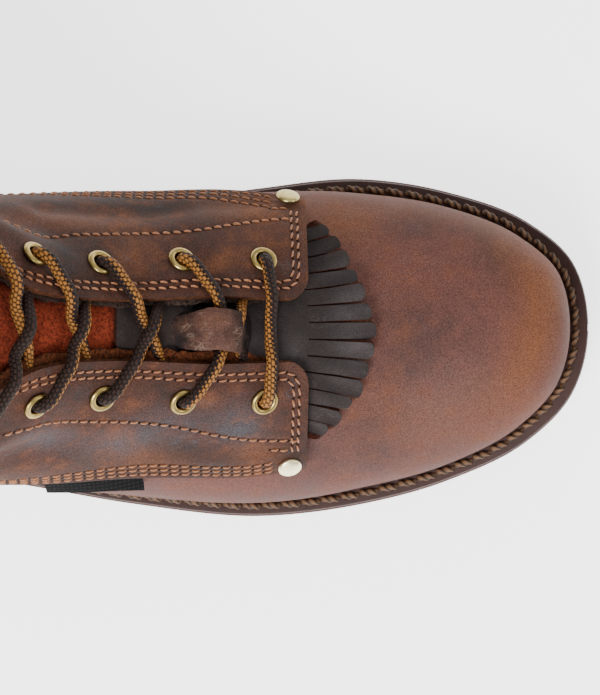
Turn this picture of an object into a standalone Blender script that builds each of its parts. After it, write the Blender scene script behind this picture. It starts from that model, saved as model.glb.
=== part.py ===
"""Lace-up work boot for the right foot: fringed kiltie, riveted lace flaps, stitched welt and lugged sole.

The boot stands on its sole with the toe towards +X and its inner side towards +Y. Lengths are metres.
One surface, the last, gives every leather piece its form: ribs rise from the welt and end on the ridge of
the instep or on the collar. Each piece is a patch of that surface, lifted and given its own thickness.
"""

import math
from collections import namedtuple

import bmesh
import bpy
import numpy as np
from mathutils import Matrix, Vector
from mathutils.bvhtree import BVHTree

# Driving sizes
GAP = 0.00045
FLAP_GAP = 0.0009
AXIS_Y = 0.0052
UPPER_WALL = 0.0022
FLAP_WALL = 0.0024
KILTIE_WALL = 0.0018
TONGUE_WALL = 0.0030
WELT_THICKNESS = 0.0035
MIDSOLE_THICKNESS = 0.0040
OUTSOLE_THICKNESS = 0.0095
INSOLE_THICKNESS = 0.0050
HEEL_BREAST_X = -0.078
LACE_DIAMETER = 0.0038
EYELET_COUNT = 8
EYELET_OUTER_RADIUS = 0.0044
EYELET_HOLE_RADIUS = 0.0023
RIVET_RADIUS = 0.0038

# One row for each rib of the last, from the toe to the heel: the sole's edge on the inner and outer side,
# the welt's margin outside the upper, how far and with what lean the wall rises from the welt, where the rib
# ends (0 to 1 along the ridge, 1 to 2 round the collar), its direction there from along the ridge (0) to
# across it (90 degrees), and how broad the crown is.
Rib = namedtuple("Rib", "name x inner outer margin rise lean_inner lean_outer rim sweep crown")
RIBS = [
    Rib("toe tip", 0.1565, 0.0072, 0.0072, 0.0094, 0.031, 2, 2, 0.000, 0, 0.027),
    Rib("toe", 0.1506, 0.0300, -0.0166, 0.0092, 0.031, 4, 4, 0.020, 30, 0.027),
    Rib("toe corner", 0.1360, 0.0428, -0.0320, 0.0090, 0.031, 7, 7, 0.046, 50, 0.026),
    Rib("forefoot", 0.1100, 0.0529, -0.0452, 0.0086, 0.031, 10, 10, 0.088, 72, 0.026),
    Rib("ball", 0.0790, 0.05765, -0.0538, 0.0086, 0.031, 12, 10, 0.150, 86, 0.026),
    Rib("vamp", 0.0450, 0.0544, -0.05765, 0.0066, 0.036, 22, 9, 0.270, 90, 0.024),
    Rib("waist", 0.0050, 0.0482, -0.0536, 0.0050, 0.044, 24, 9, 0.470, 90, 0.024),
    Rib("arch", -0.0350, 0.0450, -0.0462, 0.0046, 0.050, 19, 9, 0.740, 90, 0.025),
    Rib("heel breast", -0.0720, 0.0446, -0.0392, 0.0050, 0.054, 9, 8, 1.050, 90, 0.036),
    Rib("heel", -0.1080, 0.0446, -0.0346, 0.0054, 0.052, 4, 5, 1.400, 90, 0.058),
    Rib("heel turn", -0.1400, 0.0362, -0.0262, 0.0055, 0.048, 6, 6, 1.740, 90, 0.074),
    Rib("heel back", -0.1565, 0.0050, 0.0050, 0.0060, 0.045, 9, 9, 2.000, 90, 0.080),
]

# The ridge of the last seen from the side, from the toe crest up the instep and the front of the shaft
Ridge = namedtuple("Ridge", "name x z")
RIDGE = [
    Ridge("toe crest", 0.1120, 0.0660),
    Ridge("vamp", 0.0820, 0.0740),
    Ridge("throat", 0.0580, 0.0820),
    Ridge("low instep", 0.0350, 0.0920),
    Ridge("instep", 0.0120, 0.1040),
    Ridge("high instep", -0.0100, 0.1195),
    Ridge("bend", -0.0290, 0.1400),
    Ridge("shaft foot", -0.0390, 0.1660),
    Ridge("shaft", -0.0430, 0.2000),
    Ridge("collar front", -0.0448, 0.2300),
]
COLLAR_CENTRE_X = -0.0940
COLLAR_HALF_LENGTH = 0.0490
COLLAR_HALF_WIDTH = 0.0445
COLLAR_BACK_Z = 0.2360
COLLAR_FLARE = 7.0
HEEL_FLARE = 16.0

# The shaft's level sections, which the ribs are drawn onto above the ankle
Shaft = namedtuple("Shaft", "z front back half_width")
SHAFT = [
    Shaft(0.110, -0.0020, -0.1420, 0.0410),
    Shaft(0.140, -0.0290, -0.1385, 0.0405),
    Shaft(0.166, -0.0390, -0.1375, 0.0410),
    Shaft(0.200, -0.0430, -0.1390, 0.0425),
    Shaft(0.240, -0.0450, -0.1425, 0.0445),
    Shaft(0.260, -0.0455, -0.1440, 0.0455),
]
SHAFT_FROM_Z = 0.092
SHAFT_FULL_Z = 0.146

# Top of the welt along the boot
Level = namedtuple("Level", "x z")
SOLE_TOP = [
    Level(-0.1565, 0.0400),
    Level(-0.1000, 0.0375),
    Level(-0.0550, 0.0315),
    Level(-0.0100, 0.0222),
    Level(0.0350, 0.0165),
    Level(0.0850, 0.0160),
    Level(0.1200, 0.0190),
    Level(0.1565, 0.0270),
]

# Half the gap between the lace flaps, by distance along the ridge
Throat = namedtuple("Throat", "along half_gap")
THROAT = [
    Throat(0.050, 0.0080),
    Throat(0.095, 0.0088),
    Throat(0.122, 0.0084),
    Throat(0.146, 0.0102),
    Throat(0.172, 0.0178),
    Throat(0.196, 0.0230),
    Throat(0.255, 0.0250),
]
FLAP_FRONT_X = 0.0600
FLAP_CORNER_RADIUS = 0.0070
FLAP_OVERHANG = 0.0100
OPENING_FRONT_X = 0.0520
OPENING_ROUND_X = 0.0400
EYELET_FIRST = 0.0060
EYELET_LAST = 0.0130
EYELET_FROM_EDGE = 0.0118

# Height of the flaps' lower seams on both sides, from the rivets to the back of the heel
Seam = namedtuple("Seam", "x inner outer")
SEAM = [
    Seam(0.0600, 0.0545, 0.0585),
    Seam(0.0420, 0.0545, 0.0602),
    Seam(0.0200, 0.0565, 0.0675),
    Seam(0.0000, 0.0600, 0.0740),
    Seam(-0.0250, 0.0645, 0.0765),
    Seam(-0.0600, 0.0700, 0.0785),
    Seam(-0.1560, 0.0900, 0.0900),
]

# Kiltie: a neck under the flaps that spreads into a fan of strips over the vamp
FRINGE_STRIPS = 13
FRINGE_CENTRE_X = 0.0360
FRINGE_INNER_RADIUS = 0.0250
FRINGE_OUTER_RADIUS = 0.0455
FRINGE_HALF_ANGLE = 44.5
FRINGE_SLIT = 0.0007
KILTIE_BACK_X = 0.0040
KILTIE_NECK_HALF_WIDTH = 0.0150


class SmoothTable:
    """Smooth cubic curves through the columns of a table, read at any place between its rows."""

    def __init__(self, knots, rows, period=None):
        knots = np.asarray(knots, float)
        rows = np.asarray(rows, float)
        if period:
            knots = np.concatenate([knots[-3:] - period, knots, knots[:3] + period])
            rows = np.concatenate([rows[-3:], rows, rows[:3]])
        step = np.diff(knots)[:, None]
        slope = np.diff(rows, axis=0) / step
        inner = (step[1:] * slope[:-1] + step[:-1] * slope[1:]) / (step[1:] + step[:-1])
        self.slopes = np.concatenate([slope[:1], inner, slope[-1:]])
        self.knots, self.rows, self.period = knots, rows, period

    def at(self, places):
        places = np.asarray(places, float)
        if self.period:
            places = places % self.period
        i = np.clip(np.searchsorted(self.knots, places, side="right") - 1, 0, len(self.knots) - 2)
        step = (self.knots[i + 1] - self.knots[i])[..., None]
        t = (places - self.knots[i])[..., None] / step
        start, end = self.rows[i], self.rows[i + 1]
        leave, arrive = self.slopes[i] * step, self.slopes[i + 1] * step
        bend = t * (1 - t) * leave
        ease = t * t * (3 - 2 * t)
        return start + (end - start) * ease + bend * (1 - t) - (t * t * (1 - t)) * arrive


def chord_lengths(points):
    return np.concatenate([[0.0], np.cumsum(np.linalg.norm(np.diff(points, axis=0), axis=1))])


def smooth_step(low, high, value):
    t = np.clip((value - low) / (high - low), 0.0, 1.0)
    return t * t * (3 - 2 * t)


# The last: tables of the sole's edge, the ridge and the collar, and the ribs between them


def edge_rows():
    """The rib rows as one loop: toe tip, inner side, heel back, outer side."""
    inner = [(r.x, r.inner, r.margin, r.rise, r.lean_inner, r.rim, r.sweep, r.crown) for r in RIBS]
    outer = [(r.x, r.outer, r.margin, r.rise, r.lean_outer, r.rim, r.sweep, r.crown) for r in RIBS[-2:0:-1]]
    return np.array(inner + outer)


EDGE_ROWS = edge_rows()
EDGE_CHORDS = chord_lengths(np.vstack([EDGE_ROWS[:, :2], EDGE_ROWS[:1, :2]]))
EDGE_LENGTH = EDGE_CHORDS[-1]
EDGE = SmoothTable(EDGE_CHORDS[:-1], EDGE_ROWS, period=EDGE_LENGTH)
HEEL_U = EDGE_CHORDS[len(RIBS) - 1]
RIDGE_XZ = np.array([(r.x, r.z) for r in RIDGE])
RIDGE_CHORDS = chord_lengths(RIDGE_XZ)
RIDGE_LENGTH = RIDGE_CHORDS[-1]
RIDGE_CURVE = SmoothTable(RIDGE_CHORDS, RIDGE_XZ)
SHAFT_CURVE = SmoothTable([r.z for r in SHAFT], [r[1:] for r in SHAFT])
SOLE_TOP_CURVE = SmoothTable([r.x for r in SOLE_TOP], [[r.z] for r in SOLE_TOP])
THROAT_CURVE = SmoothTable([r.along for r in THROAT], [[r.half_gap] for r in THROAT])
SEAM_CURVE = SmoothTable([-r.x for r in SEAM], [r[1:] for r in SEAM])


def sole_top(x):
    return SOLE_TOP_CURVE.at(x)[..., 0]


def edge_point(u, inset):
    """Plan position of the sole's edge at u, moved inwards by inset, and the outward direction there."""
    small = 1e-4
    here = EDGE.at(u)[..., :2]
    along = EDGE.at(u + small)[..., :2] - EDGE.at(u - small)[..., :2]
    along /= np.linalg.norm(along, axis=-1, keepdims=True)
    outward = np.stack([along[..., 1], -along[..., 0]], -1)
    return here - outward * np.asarray(inset)[..., None], outward


def rim_point(rim, side, sweep):
    """Where a rib ends, and the direction that it comes from there."""
    small = 1e-4
    along = np.clip(rim, 0, 1) * RIDGE_LENGTH
    ridge = RIDGE_CURVE.at(along)
    forward = RIDGE_CURVE.at(along - small) - RIDGE_CURVE.at(along + small)
    forward /= np.linalg.norm(forward, axis=-1, keepdims=True)
    across = np.radians(sweep)
    turn = np.pi * np.clip(rim - 1, 0, 1)
    round_collar = rim > 1
    x = np.where(round_collar, COLLAR_CENTRE_X + COLLAR_HALF_LENGTH * np.cos(turn), ridge[..., 0])
    y = AXIS_Y + side * COLLAR_HALF_WIDTH * np.sin(turn)
    rise = RIDGE[-1].z + (COLLAR_BACK_Z - RIDGE[-1].z) * turn / np.pi
    z = np.where(round_collar, rise, ridge[..., 1])
    to_ridge = np.stack([np.cos(across) * forward[..., 0], side * np.sin(across),
                         np.cos(across) * forward[..., 1]], -1)
    flare = np.radians(COLLAR_FLARE + (HEEL_FLARE - COLLAR_FLARE) * smooth_step(1.5, 2.0, rim))
    to_collar = np.stack([-np.cos(turn) * np.sin(flare), -side * np.sin(turn) * np.sin(flare),
                          -np.cos(flare)], -1)
    share = smooth_step(0.95, 1.5, rim)[..., None]
    come_from = to_ridge * (1 - share) + to_collar * share
    come_from /= np.linalg.norm(come_from, axis=-1, keepdims=True)
    return np.stack([x, y, z], -1), come_from


def onto_shaft(points):
    """Points above the ankle moved level onto the oval of the shaft at their height."""
    x, y, z = np.moveaxis(points, -1, 0)
    front, back, half_width = np.moveaxis(SHAFT_CURVE.at(np.clip(z, SHAFT[0].z, SHAFT[-1].z)), -1, 0)
    middle, half_length = (front + back) / 2, (front - back) / 2
    reach = np.hypot((x - middle) / half_length, (y - AXIS_Y) / half_width)
    share = smooth_step(SHAFT_FROM_Z, SHAFT_FULL_Z, z)
    scale = 1 + (1 / np.maximum(reach, 0.2) - 1) * share
    return np.stack([middle + (x - middle) * scale, AXIS_Y + (y - AXIS_Y) * scale, z], -1)


def last_point(u, v):
    """A point of the last: u runs round the welt from the toe tip, v up the rib from welt to rim."""
    u, v = np.broadcast_arrays(np.asarray(u, float), np.asarray(v, float))
    row = EDGE.at(u)
    side = np.where(u % EDGE_LENGTH < HEEL_U, 1.0, -1.0)
    margin, rise, lean, rim, sweep, crown = np.moveaxis(row[..., 2:], -1, 0)
    plan, outward = edge_point(u, margin)
    foot = np.stack([plan[..., 0], plan[..., 1], sole_top(plan[..., 0]) + GAP], -1)
    lean = np.radians(lean)
    up = np.stack([outward[..., 0] * np.sin(lean), outward[..., 1] * np.sin(lean), np.cos(lean)], -1)
    end, come_from = rim_point(rim, side, sweep)
    first = foot + up * rise[..., None]
    last = end + come_from * crown[..., None]
    t = v[..., None]
    rib = foot * (1 - t) ** 3 + 3 * first * t * (1 - t) ** 2 + 3 * last * t * t * (1 - t) + end * t**3
    return onto_shaft(rib)


def lifted(u, v, lift):
    """Points of the last moved outwards along its normal."""
    small_u, small_v = 2e-4, 2e-3
    u, v, lift = np.broadcast_arrays(*(np.asarray(a, float) for a in (u, v, lift)))
    along = last_point(u + small_u, v) - last_point(u - small_u, v)
    up = last_point(u, np.minimum(v + small_v, 1)) - last_point(u, v - small_v)
    normal = np.cross(along, up)
    normal /= np.linalg.norm(normal, axis=-1, keepdims=True)
    return last_point(u, v) + normal * lift[..., None]


def last_share(u, value, reached):
    """The highest v on each rib at u where value(points) still passes reached."""
    u = np.atleast_1d(np.asarray(u, float))
    steps = np.linspace(0, 1, 241)
    passed = value(last_point(u[:, None], steps[None, :])) >= np.asarray(reached)[..., None]
    top = passed.shape[1] - 1 - np.argmax(passed[:, ::-1], axis=1)
    low = steps[top]
    high = steps[np.minimum(top + 1, len(steps) - 1)]
    for _ in range(20):
        middle = (low + high) / 2
        inside = value(last_point(u, middle)) >= reached
        low = np.where(inside, middle, low)
        high = np.where(inside, high, middle)
    return low


def from_ridge(points):
    return np.abs(points[..., 1] - AXIS_Y)


def rim_of(u):
    return EDGE.at(u)[..., 5]


def half_gap(u):
    return THROAT_CURVE.at(np.clip(rim_of(u) * RIDGE_LENGTH, THROAT[0].along, THROAT[-1].along))[..., 0]


def flap_top(u):
    """v of the flap's edge along the throat and collar."""
    return last_share(u, from_ridge, half_gap(u))


def opening_top(u):
    """v of the upper's own edge: round at the front of the throat and set back under the flaps."""
    u = np.atleast_1d(np.asarray(u, float))
    ridge_x = RIDGE_CURVE.at(np.clip(rim_of(u), 0, 1) * RIDGE_LENGTH)[..., 0]
    share = np.clip((ridge_x - OPENING_ROUND_X) / (OPENING_FRONT_X - OPENING_ROUND_X), 0, 1)
    gap = (half_gap(u) + FLAP_OVERHANG) * np.sqrt(1 - share**2)
    return np.where(gap > 0, last_share(u, from_ridge, gap), 1.0)


def seam_bottom(u):
    """v of the flap's lower seam, where each rib first reaches the seam's height."""
    x = EDGE.at(u)[..., 0]
    heights = SEAM_CURVE.at(np.clip(-x, -SEAM[0].x, -SEAM[-1].x))
    height = np.where(u % EDGE_LENGTH < HEEL_U, heights[..., 0], heights[..., 1])
    low = np.zeros_like(u)
    high = np.full_like(u, 0.8)
    for _ in range(30):
        middle = (low + high) / 2
        below = last_point(u, middle)[..., 2] < height
        low = np.where(below, middle, low)
        high = np.where(below, high, middle)
    return low


def u_at_rim(rim, side):
    """The rib that ends at a place on the rim, on the inner (1) or outer (-1) side."""
    rim = np.asarray(rim, float)
    low = np.full_like(rim, 0.0 if side > 0 else EDGE_LENGTH - 1e-9)
    high = np.full_like(rim, HEEL_U)
    for _ in range(48):
        middle = (low + high) / 2
        short = rim_of(middle) < rim
        low = np.where(short, middle, low)
        high = np.where(short, high, middle)
    return (low + high) / 2


def collar_corner(side):
    """The rib on which the flap's throat edge meets the collar."""
    samples = u_at_rim(np.linspace(1.0, 1.4, 400), side)
    reach = from_ridge(last_point(samples, 1.0)) - half_gap(samples)
    return samples[np.argmax(reach > 0)]


# Scene and mesh helpers


def new_collection(name):
    made = bpy.data.collections.new(name)
    bpy.context.scene.collection.children.link(made)
    return made


def material(name, colour, roughness, metallic=0.0):
    made = bpy.data.materials.new(name)
    made.use_nodes = True
    shader = made.node_tree.nodes["Principled BSDF"]
    shader.inputs["Base Color"].default_value = (*colour, 1)
    shader.inputs["Roughness"].default_value = roughness
    shader.inputs["Metallic"].default_value = metallic
    return made


def add_object(name, mesh, finish, collection):
    made = bpy.data.objects.new(name, mesh)
    mesh.materials.append(finish)
    collection.objects.link(made)
    return made


def mesh_from(name, shape):
    mesh = bpy.data.meshes.new(name)
    shape.to_mesh(mesh)
    shape.free()
    mesh.shade_smooth()
    mesh.set_sharp_from_angle(angle=math.radians(40))
    return mesh


def grid_shape(points, closed=False):
    """A sheet of quads through an array of points; closed joins its last column to its first."""
    rows, columns = points.shape[:2]
    shape = bmesh.new()
    bmesh.ops.create_grid(shape, x_segments=columns - 1, y_segments=rows - 1)
    shape.verts.ensure_lookup_table()
    for vert, place in zip(shape.verts, points.reshape(-1, 3)):
        vert.co = place
    if closed:
        bmesh.ops.remove_doubles(shape, verts=shape.verts, dist=2e-6)
    return shape


def solid_sheet(name, shape, thickness, finish, collection, outwards=True):
    """A sheet object with Solidify, its open surface kept on the inner or the outer side."""
    made = add_object(name, mesh_from(name, shape), finish, collection)
    wall = made.modifiers.new("wall", "SOLIDIFY")
    wall.thickness = thickness
    wall.offset = 1.0 if outwards else -1.0
    wall.use_even_offset = True
    wall.use_quality_normals = True
    return made


def cut(target, cutter_shape, name, cutters):
    """Takes a closed shape out of an object with a Boolean modifier."""
    mesh = bpy.data.meshes.new(name)
    cutter_shape.to_mesh(mesh)
    cutter_shape.free()
    cutter = bpy.data.objects.new(name, mesh)
    cutter.hide_render = True
    cutter.display_type = "WIRE"
    cutters.objects.link(cutter)
    boolean = target.modifiers.new(name, "BOOLEAN")
    boolean.operation = "DIFFERENCE"
    boolean.object = cutter


def frame_at(point, normal, along):
    """A placement with Z on the normal and X as near to along as it can be."""
    z = Vector(normal).normalized()
    y = z.cross(Vector(along)).normalized()
    x = y.cross(z)
    return Matrix.Translation(Vector(point)) @ Matrix((x, y, z)).transposed().to_4x4()


def turned(name, profile, steps, place, finish, collection):
    """A profile of (radius, height) rows turned about Z with a Screw modifier, then placed."""
    shape = bmesh.new()
    verts = [shape.verts.new((radius, 0, height)) for radius, height in profile]
    on_axis = profile[0][0] == 0
    for start, end in zip(verts, verts[1:] + ([] if on_axis else verts[:1])):
        shape.edges.new((start, end))
    mesh = bpy.data.meshes.new(name)
    shape.to_mesh(mesh)
    shape.free()
    made = add_object(name, mesh, finish, collection)
    screw = made.modifiers.new("turn", "SCREW")
    screw.steps = steps
    screw.render_steps = steps
    screw.use_merge_vertices = True
    screw.merge_threshold = 0.00002
    made.matrix_world = place
    return made


# Sole


def ladder(inset, front_x=None, pairs=30):
    """Plan points of the sole's edge, in pairs across it: back along the inner side, then forward again."""
    loop = np.linspace(0, EDGE_LENGTH, 2400, endpoint=False)
    plan = edge_point(loop, np.full_like(loop, inset))[0]
    tip, back = np.argmax(plan[:, 0]), np.argmin(plan[:, 0])
    plan = np.roll(plan, -tip, axis=0)
    back = (back - tip) % len(plan)
    flat_end = 1.5e-5
    front = plan[0, 0] - flat_end if front_x is None else front_x
    rear = plan[back, 0] + flat_end
    if front_x is None:
        share = (1 - np.cos(np.linspace(0, np.pi, pairs))) / 2
    else:
        share = np.sin(np.linspace(0, np.pi / 2, pairs))
    x = front + (rear - front) * share
    inner = np.interp(-x, -plan[: back + 1, 0], plan[: back + 1, 1])
    outer = np.interp(x, plan[back:, 0], plan[back:, 1])
    return np.concatenate([np.stack([x, inner], 1), np.stack([x, outer], 1)[::-1]])


def slab(name, rings, finish, collection):
    """A closed layer of the sole, lofted through rings from bottom to top, with strips across as its ends."""
    shape = bmesh.new()
    loops = [[shape.verts.new(point) for point in ring] for ring in rings]
    count = len(loops[0])
    for low, high in zip(loops, loops[1:]):
        for i in range(count):
            j = (i + 1) % count
            shape.faces.new((low[i], high[i], high[j], low[j]))
    for i in range(count // 2 - 1):
        across = (i, i + 1, count - 2 - i, count - 1 - i)
        shape.faces.new([loops[0][k] for k in across])
        shape.faces.new([loops[-1][k] for k in reversed(across)])
    bmesh.ops.recalc_face_normals(shape, faces=shape.faces)
    return add_object(name, mesh_from(name, shape), finish, collection)


def ring_at(inset, height, front_x=None, pairs=30):
    plan = ladder(inset, front_x, pairs)
    return np.column_stack([plan, height(plan[:, 0])])


def welt_bottom(x):
    return sole_top(x) - WELT_THICKNESS


def midsole_bottom(x):
    return welt_bottom(x) - MIDSOLE_THICKNESS


def outsole_bottom(x):
    return np.maximum(sole_top(x) - WELT_THICKNESS - MIDSOLE_THICKNESS - OUTSOLE_THICKNESS, 0)


def groove_bars(rows, floor):
    """Bars that cut grooves across the sole: x, width, depth and slant of each, set along the floor curve."""
    shape = bmesh.new()
    for x, width, depth, slant in rows:
        pitch = math.atan2(float(floor(np.array(x + 0.004)) - floor(np.array(x - 0.004))), 0.008)
        place = Matrix.Translation((x, 0, float(floor(np.array(x)))))
        turn = Matrix.Rotation(-pitch, 4, "Y") @ Matrix.Rotation(math.radians(slant), 4, "Z")
        size = Matrix.Diagonal((width, 0.16, 2 * depth, 1))
        bmesh.ops.create_cube(shape, size=1, matrix=place @ turn @ size)
    return shape


def build_sole(parts, cutters, finishes):
    """Welt, midsole, lugged outsole, heel and insole."""
    welt_inset, midsole_inset, welt_inner = 0.0012, 0.0008, 0.0134
    samples = np.linspace(0, EDGE_LENGTH, 65)
    rings = []
    for inset, height in ((welt_inset, welt_bottom), (welt_inset, sole_top), (welt_inner, sole_top),
                          (welt_inner, welt_bottom), (welt_inset, welt_bottom)):
        plan = edge_point(samples, np.full_like(samples, inset))[0]
        rings.append(np.column_stack([plan, height(plan[:, 0])]))
    welt = grid_shape(np.array(rings), closed=True)
    bmesh.ops.recalc_face_normals(welt, faces=welt.faces)
    add_object("welt", mesh_from("welt", welt), finishes["welt"], parts)

    slab("midsole", [ring_at(midsole_inset, lambda x: midsole_bottom(x) + GAP),
                     ring_at(midsole_inset, lambda x: welt_bottom(x) - GAP)], finishes["midsole"], parts)
    slab("insole", [ring_at(welt_inner + 0.0004, lambda x: welt_bottom(x) + GAP),
                    ring_at(welt_inner + 0.0004, lambda x: welt_bottom(x) + INSOLE_THICKNESS)],
         finishes["insole"], parts)

    rib, lip = 0.0010, 0.0016
    outsole = slab("outsole", [
        ring_at(0.0030, outsole_bottom),
        ring_at(0.0006, lambda x: outsole_bottom(x) + lip),
        ring_at(0.0, lambda x: outsole_bottom(x) + 2 * lip),
        ring_at(0.0, lambda x: midsole_bottom(x) - 2 * lip),
        ring_at(rib, lambda x: midsole_bottom(x) - lip),
        ring_at(rib, midsole_bottom),
    ], finishes["outsole"], parts)
    lug_pitch, lug_groove, lug_depth, flex_slant = 0.0125, 0.0046, 0.0040, 10
    tread = [(0.143 - i * lug_pitch, lug_groove, lug_depth, -flex_slant) for i in range(11)]
    cut(outsole, groove_bars(tread, outsole_bottom), "tread_grooves", cutters)

    def heel_top(x):
        return outsole_bottom(x) - GAP

    heel = slab("heel", [
        ring_at(0.0024, np.zeros_like, HEEL_BREAST_X, 16),
        ring_at(0.0010, lambda x: np.full_like(x, lip), HEEL_BREAST_X + 0.001, 16),
        ring_at(0.0010, heel_top, HEEL_BREAST_X + 0.004, 16),
    ], finishes["outsole"], parts)
    lifts = [(HEEL_BREAST_X - 0.018 * (i + 1), lug_groove, lug_depth, 0) for i in range(3)]
    cut(heel, groove_bars(lifts, np.zeros_like), "heel_grooves", cutters)


# Upper and lace flaps


def build_upper(parts, finishes):
    """The hollow upper: one wall from the welt to the throat and collar, open below."""
    ridge_x = RIDGE_CURVE.at(np.linspace(0, RIDGE_LENGTH, 2000))[:, 0]
    open_rim = np.interp(-OPENING_FRONT_X, -ridge_x, np.linspace(0, 1, 2000))
    vamp = np.linspace(0, u_at_rim(open_rim, 1), 13)[1:]
    spread = np.concatenate([[0.004, 0.012, 0.024, 0.040], np.linspace(0.07, 1, 12)])
    inner = np.concatenate([vamp, vamp[-1] + (collar_corner(1) - vamp[-1]) * spread])
    outer_vamp = u_at_rim(rim_of(vamp), -1)
    outer = np.concatenate([outer_vamp, outer_vamp[-1] + (collar_corner(-1) - outer_vamp[-1]) * spread])
    heel = np.concatenate([np.linspace(inner[-1], HEEL_U, 11)[1:], np.linspace(HEEL_U, outer[-1], 11)[1:-1]])
    u = np.concatenate([[0], inner, heel, outer[::-1], [EDGE_LENGTH]])
    top = opening_top(u)
    share = np.linspace(0, 1, 11)[:, None]
    shape = grid_shape(last_point(u[None, :], share * top[None, :]), closed=True)
    return solid_sheet("upper", shape, UPPER_WALL, finishes["leather"], parts, outwards=False)


def flap_lift(points):
    """Height of a flap above the last: it rides over the kiltie near the front of the throat."""
    over_kiltie = smooth_step(0.008, 0.034, points[..., 0]) * smooth_step(0.046, 0.036, from_ridge(points))
    return FLAP_GAP + (KILTIE_WALL + 2 * GAP) * over_kiltie


def flap_uv(side, share_up):
    """u of the flap's front edge for each share of the way up from its seam, corner rounded at the throat."""
    low = np.full_like(share_up, u_at_rim(0.08, side))
    high = np.full_like(share_up, u_at_rim(0.42, side))
    for _ in range(40):
        u = (low + high) / 2
        bottom, top = seam_bottom(u), flap_top(u)
        points = last_point(u, bottom + (top - bottom) * share_up)
        from_edge = np.clip(from_ridge(points) - half_gap(u), 0, FLAP_CORNER_RADIUS)
        short = FLAP_CORNER_RADIUS - np.sqrt(FLAP_CORNER_RADIUS**2 - (FLAP_CORNER_RADIUS - from_edge) ** 2)
        ahead = points[..., 0] > FLAP_FRONT_X - short
        low = np.where(ahead, u, low)
        high = np.where(ahead, high, u)
    return (low + high) / 2


def build_flap(skin, side, name, parts, cutters, finishes):
    """A lace flap with its side of the shaft, from the front edge to the back seam, and its eyelet holes."""
    back_gap = 0.0006
    share_up = 1 - (1 - np.linspace(0, 1, 9)) ** 1.3
    front = flap_uv(side, share_up)
    corner = collar_corner(side)
    back = HEEL_U - side * back_gap
    edge_u, _, along = throat_edge(side)
    spread = np.interp(np.linspace(0, along[-1], 17), along, (edge_u - edge_u[0]) / (edge_u[-1] - edge_u[0]))
    columns = [front + (corner - front) * a for a in spread]
    columns += [np.full_like(front, corner + (back - corner) * a) for a in np.linspace(0, 1, 15)[1:]]
    u = np.array(columns).T
    flat = u.ravel()
    bottom, top = seam_bottom(flat).reshape(u.shape), flap_top(flat).reshape(u.shape)
    v = bottom + (top - bottom) * share_up[:, None]
    points = lifted(u, v, flap_lift(last_point(u, v)))
    if side < 0:
        points = points[:, ::-1]
    flap = solid_sheet(name, grid_shape(points), FLAP_WALL, finishes["leather"], parts)
    holes = bmesh.new()
    for place in eyelet_places(skin, side):
        bmesh.ops.create_cone(holes, cap_ends=True, segments=10, radius1=EYELET_HOLE_RADIUS + 0.0009,
                              radius2=EYELET_HOLE_RADIUS + 0.0009, depth=0.014, matrix=place)
    cut(flap, holes, f"{name}_holes", cutters)
    return flap


def surface_frame(u, v, lift):
    """Placement on the last with Z outwards and X towards the toe."""
    here = lifted(u, v, lift)
    normal = lifted(u, v, lift + 0.001) - here
    return frame_at(here, normal, (1, 0, 0.2))


def throat_edge(side):
    """u, v and distance along the flap's edge from its front corner up to the collar."""
    front = flap_uv(side, np.array([1.0]))[0]
    u = np.linspace(front, collar_corner(side), 900)
    v = flap_top(u)
    return u, v, chord_lengths(last_point(u, v))


def eyelet_places(skin, side):
    """Placements of the eyelets on the outside of one flap, from the toe up, evenly spaced along its edge."""
    u, v, along = throat_edge(side)
    edge = last_point(u, v)
    out = lifted(u, v, 1.0) - edge
    first = EYELET_FIRST
    pitch = (along[-1] - first - EYELET_LAST) / (EYELET_COUNT - 1)
    places = []
    for index in range(EYELET_COUNT):
        i = np.searchsorted(along, first + index * pitch)
        step = edge[min(i + 6, len(edge) - 1)] - edge[i - 6]
        away = np.cross(step, out[i]) * side
        away /= np.linalg.norm(away)
        near, normal, _, _ = skin.find_nearest(Vector(edge[i] + away * EYELET_FROM_EDGE))
        if normal.dot(Vector(out[i])) < 0:
            normal = -normal
        lift = float(flap_lift(np.array(near))) + FLAP_WALL
        places.append(frame_at(near + normal * lift, normal, step * -1))
    return places


def build_fastenings(skin, parts, finishes):
    """Eyelets in both flaps and a rivet at each flap's lower front corner."""
    barrel, seat, crown = 0.0020, 0.0007, 0.0015
    wall = EYELET_HOLE_RADIUS + 0.0005
    profile = [(EYELET_HOLE_RADIUS, crown * 0.9), (EYELET_OUTER_RADIUS * 0.76, crown),
               (EYELET_OUTER_RADIUS, seat), (wall, seat), (wall, -barrel), (EYELET_HOLE_RADIUS, -barrel)]
    dome = [(0, 0.0018), (RIVET_RADIUS * 0.6, 0.0015), (RIVET_RADIUS, seat + 0.0002),
            (RIVET_RADIUS * 0.97, seat), (0, seat)]
    for side, word in ((1, "inner"), (-1, "outer")):
        for index, place in enumerate(eyelet_places(skin, side)):
            turned(f"eyelet_{word}_{index + 1}", profile, 8, place, finishes["brass"], parts)
        u = flap_uv(side, np.array([0.10]))
        inside = u + side * 0.0058
        v = seam_bottom(inside) + 0.045
        lift = flap_lift(last_point(inside, v)) + FLAP_WALL + 0.0003
        turned(f"rivet_{word}", dome, 12, surface_frame(inside[0], v[0], lift[0]), finishes["brass"], parts)


def build_backstay(parts, finishes):
    """The strip that covers the seam between the flaps at the back of the shaft."""
    half_width, wall = 0.0085, 0.0016
    u = HEEL_U + np.linspace(-half_width, half_width, 5)
    bottom = seam_bottom(u)
    share = np.linspace(0.012, 0.985, 9)[:, None]
    v = bottom + (1 - bottom) * share
    u = np.broadcast_to(u, v.shape)
    points = lifted(u, v, FLAP_GAP + FLAP_WALL + GAP)
    solid_sheet("backstay", grid_shape(points), wall, finishes["leather"], parts)


# Tongue, kiltie and keeper


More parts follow.
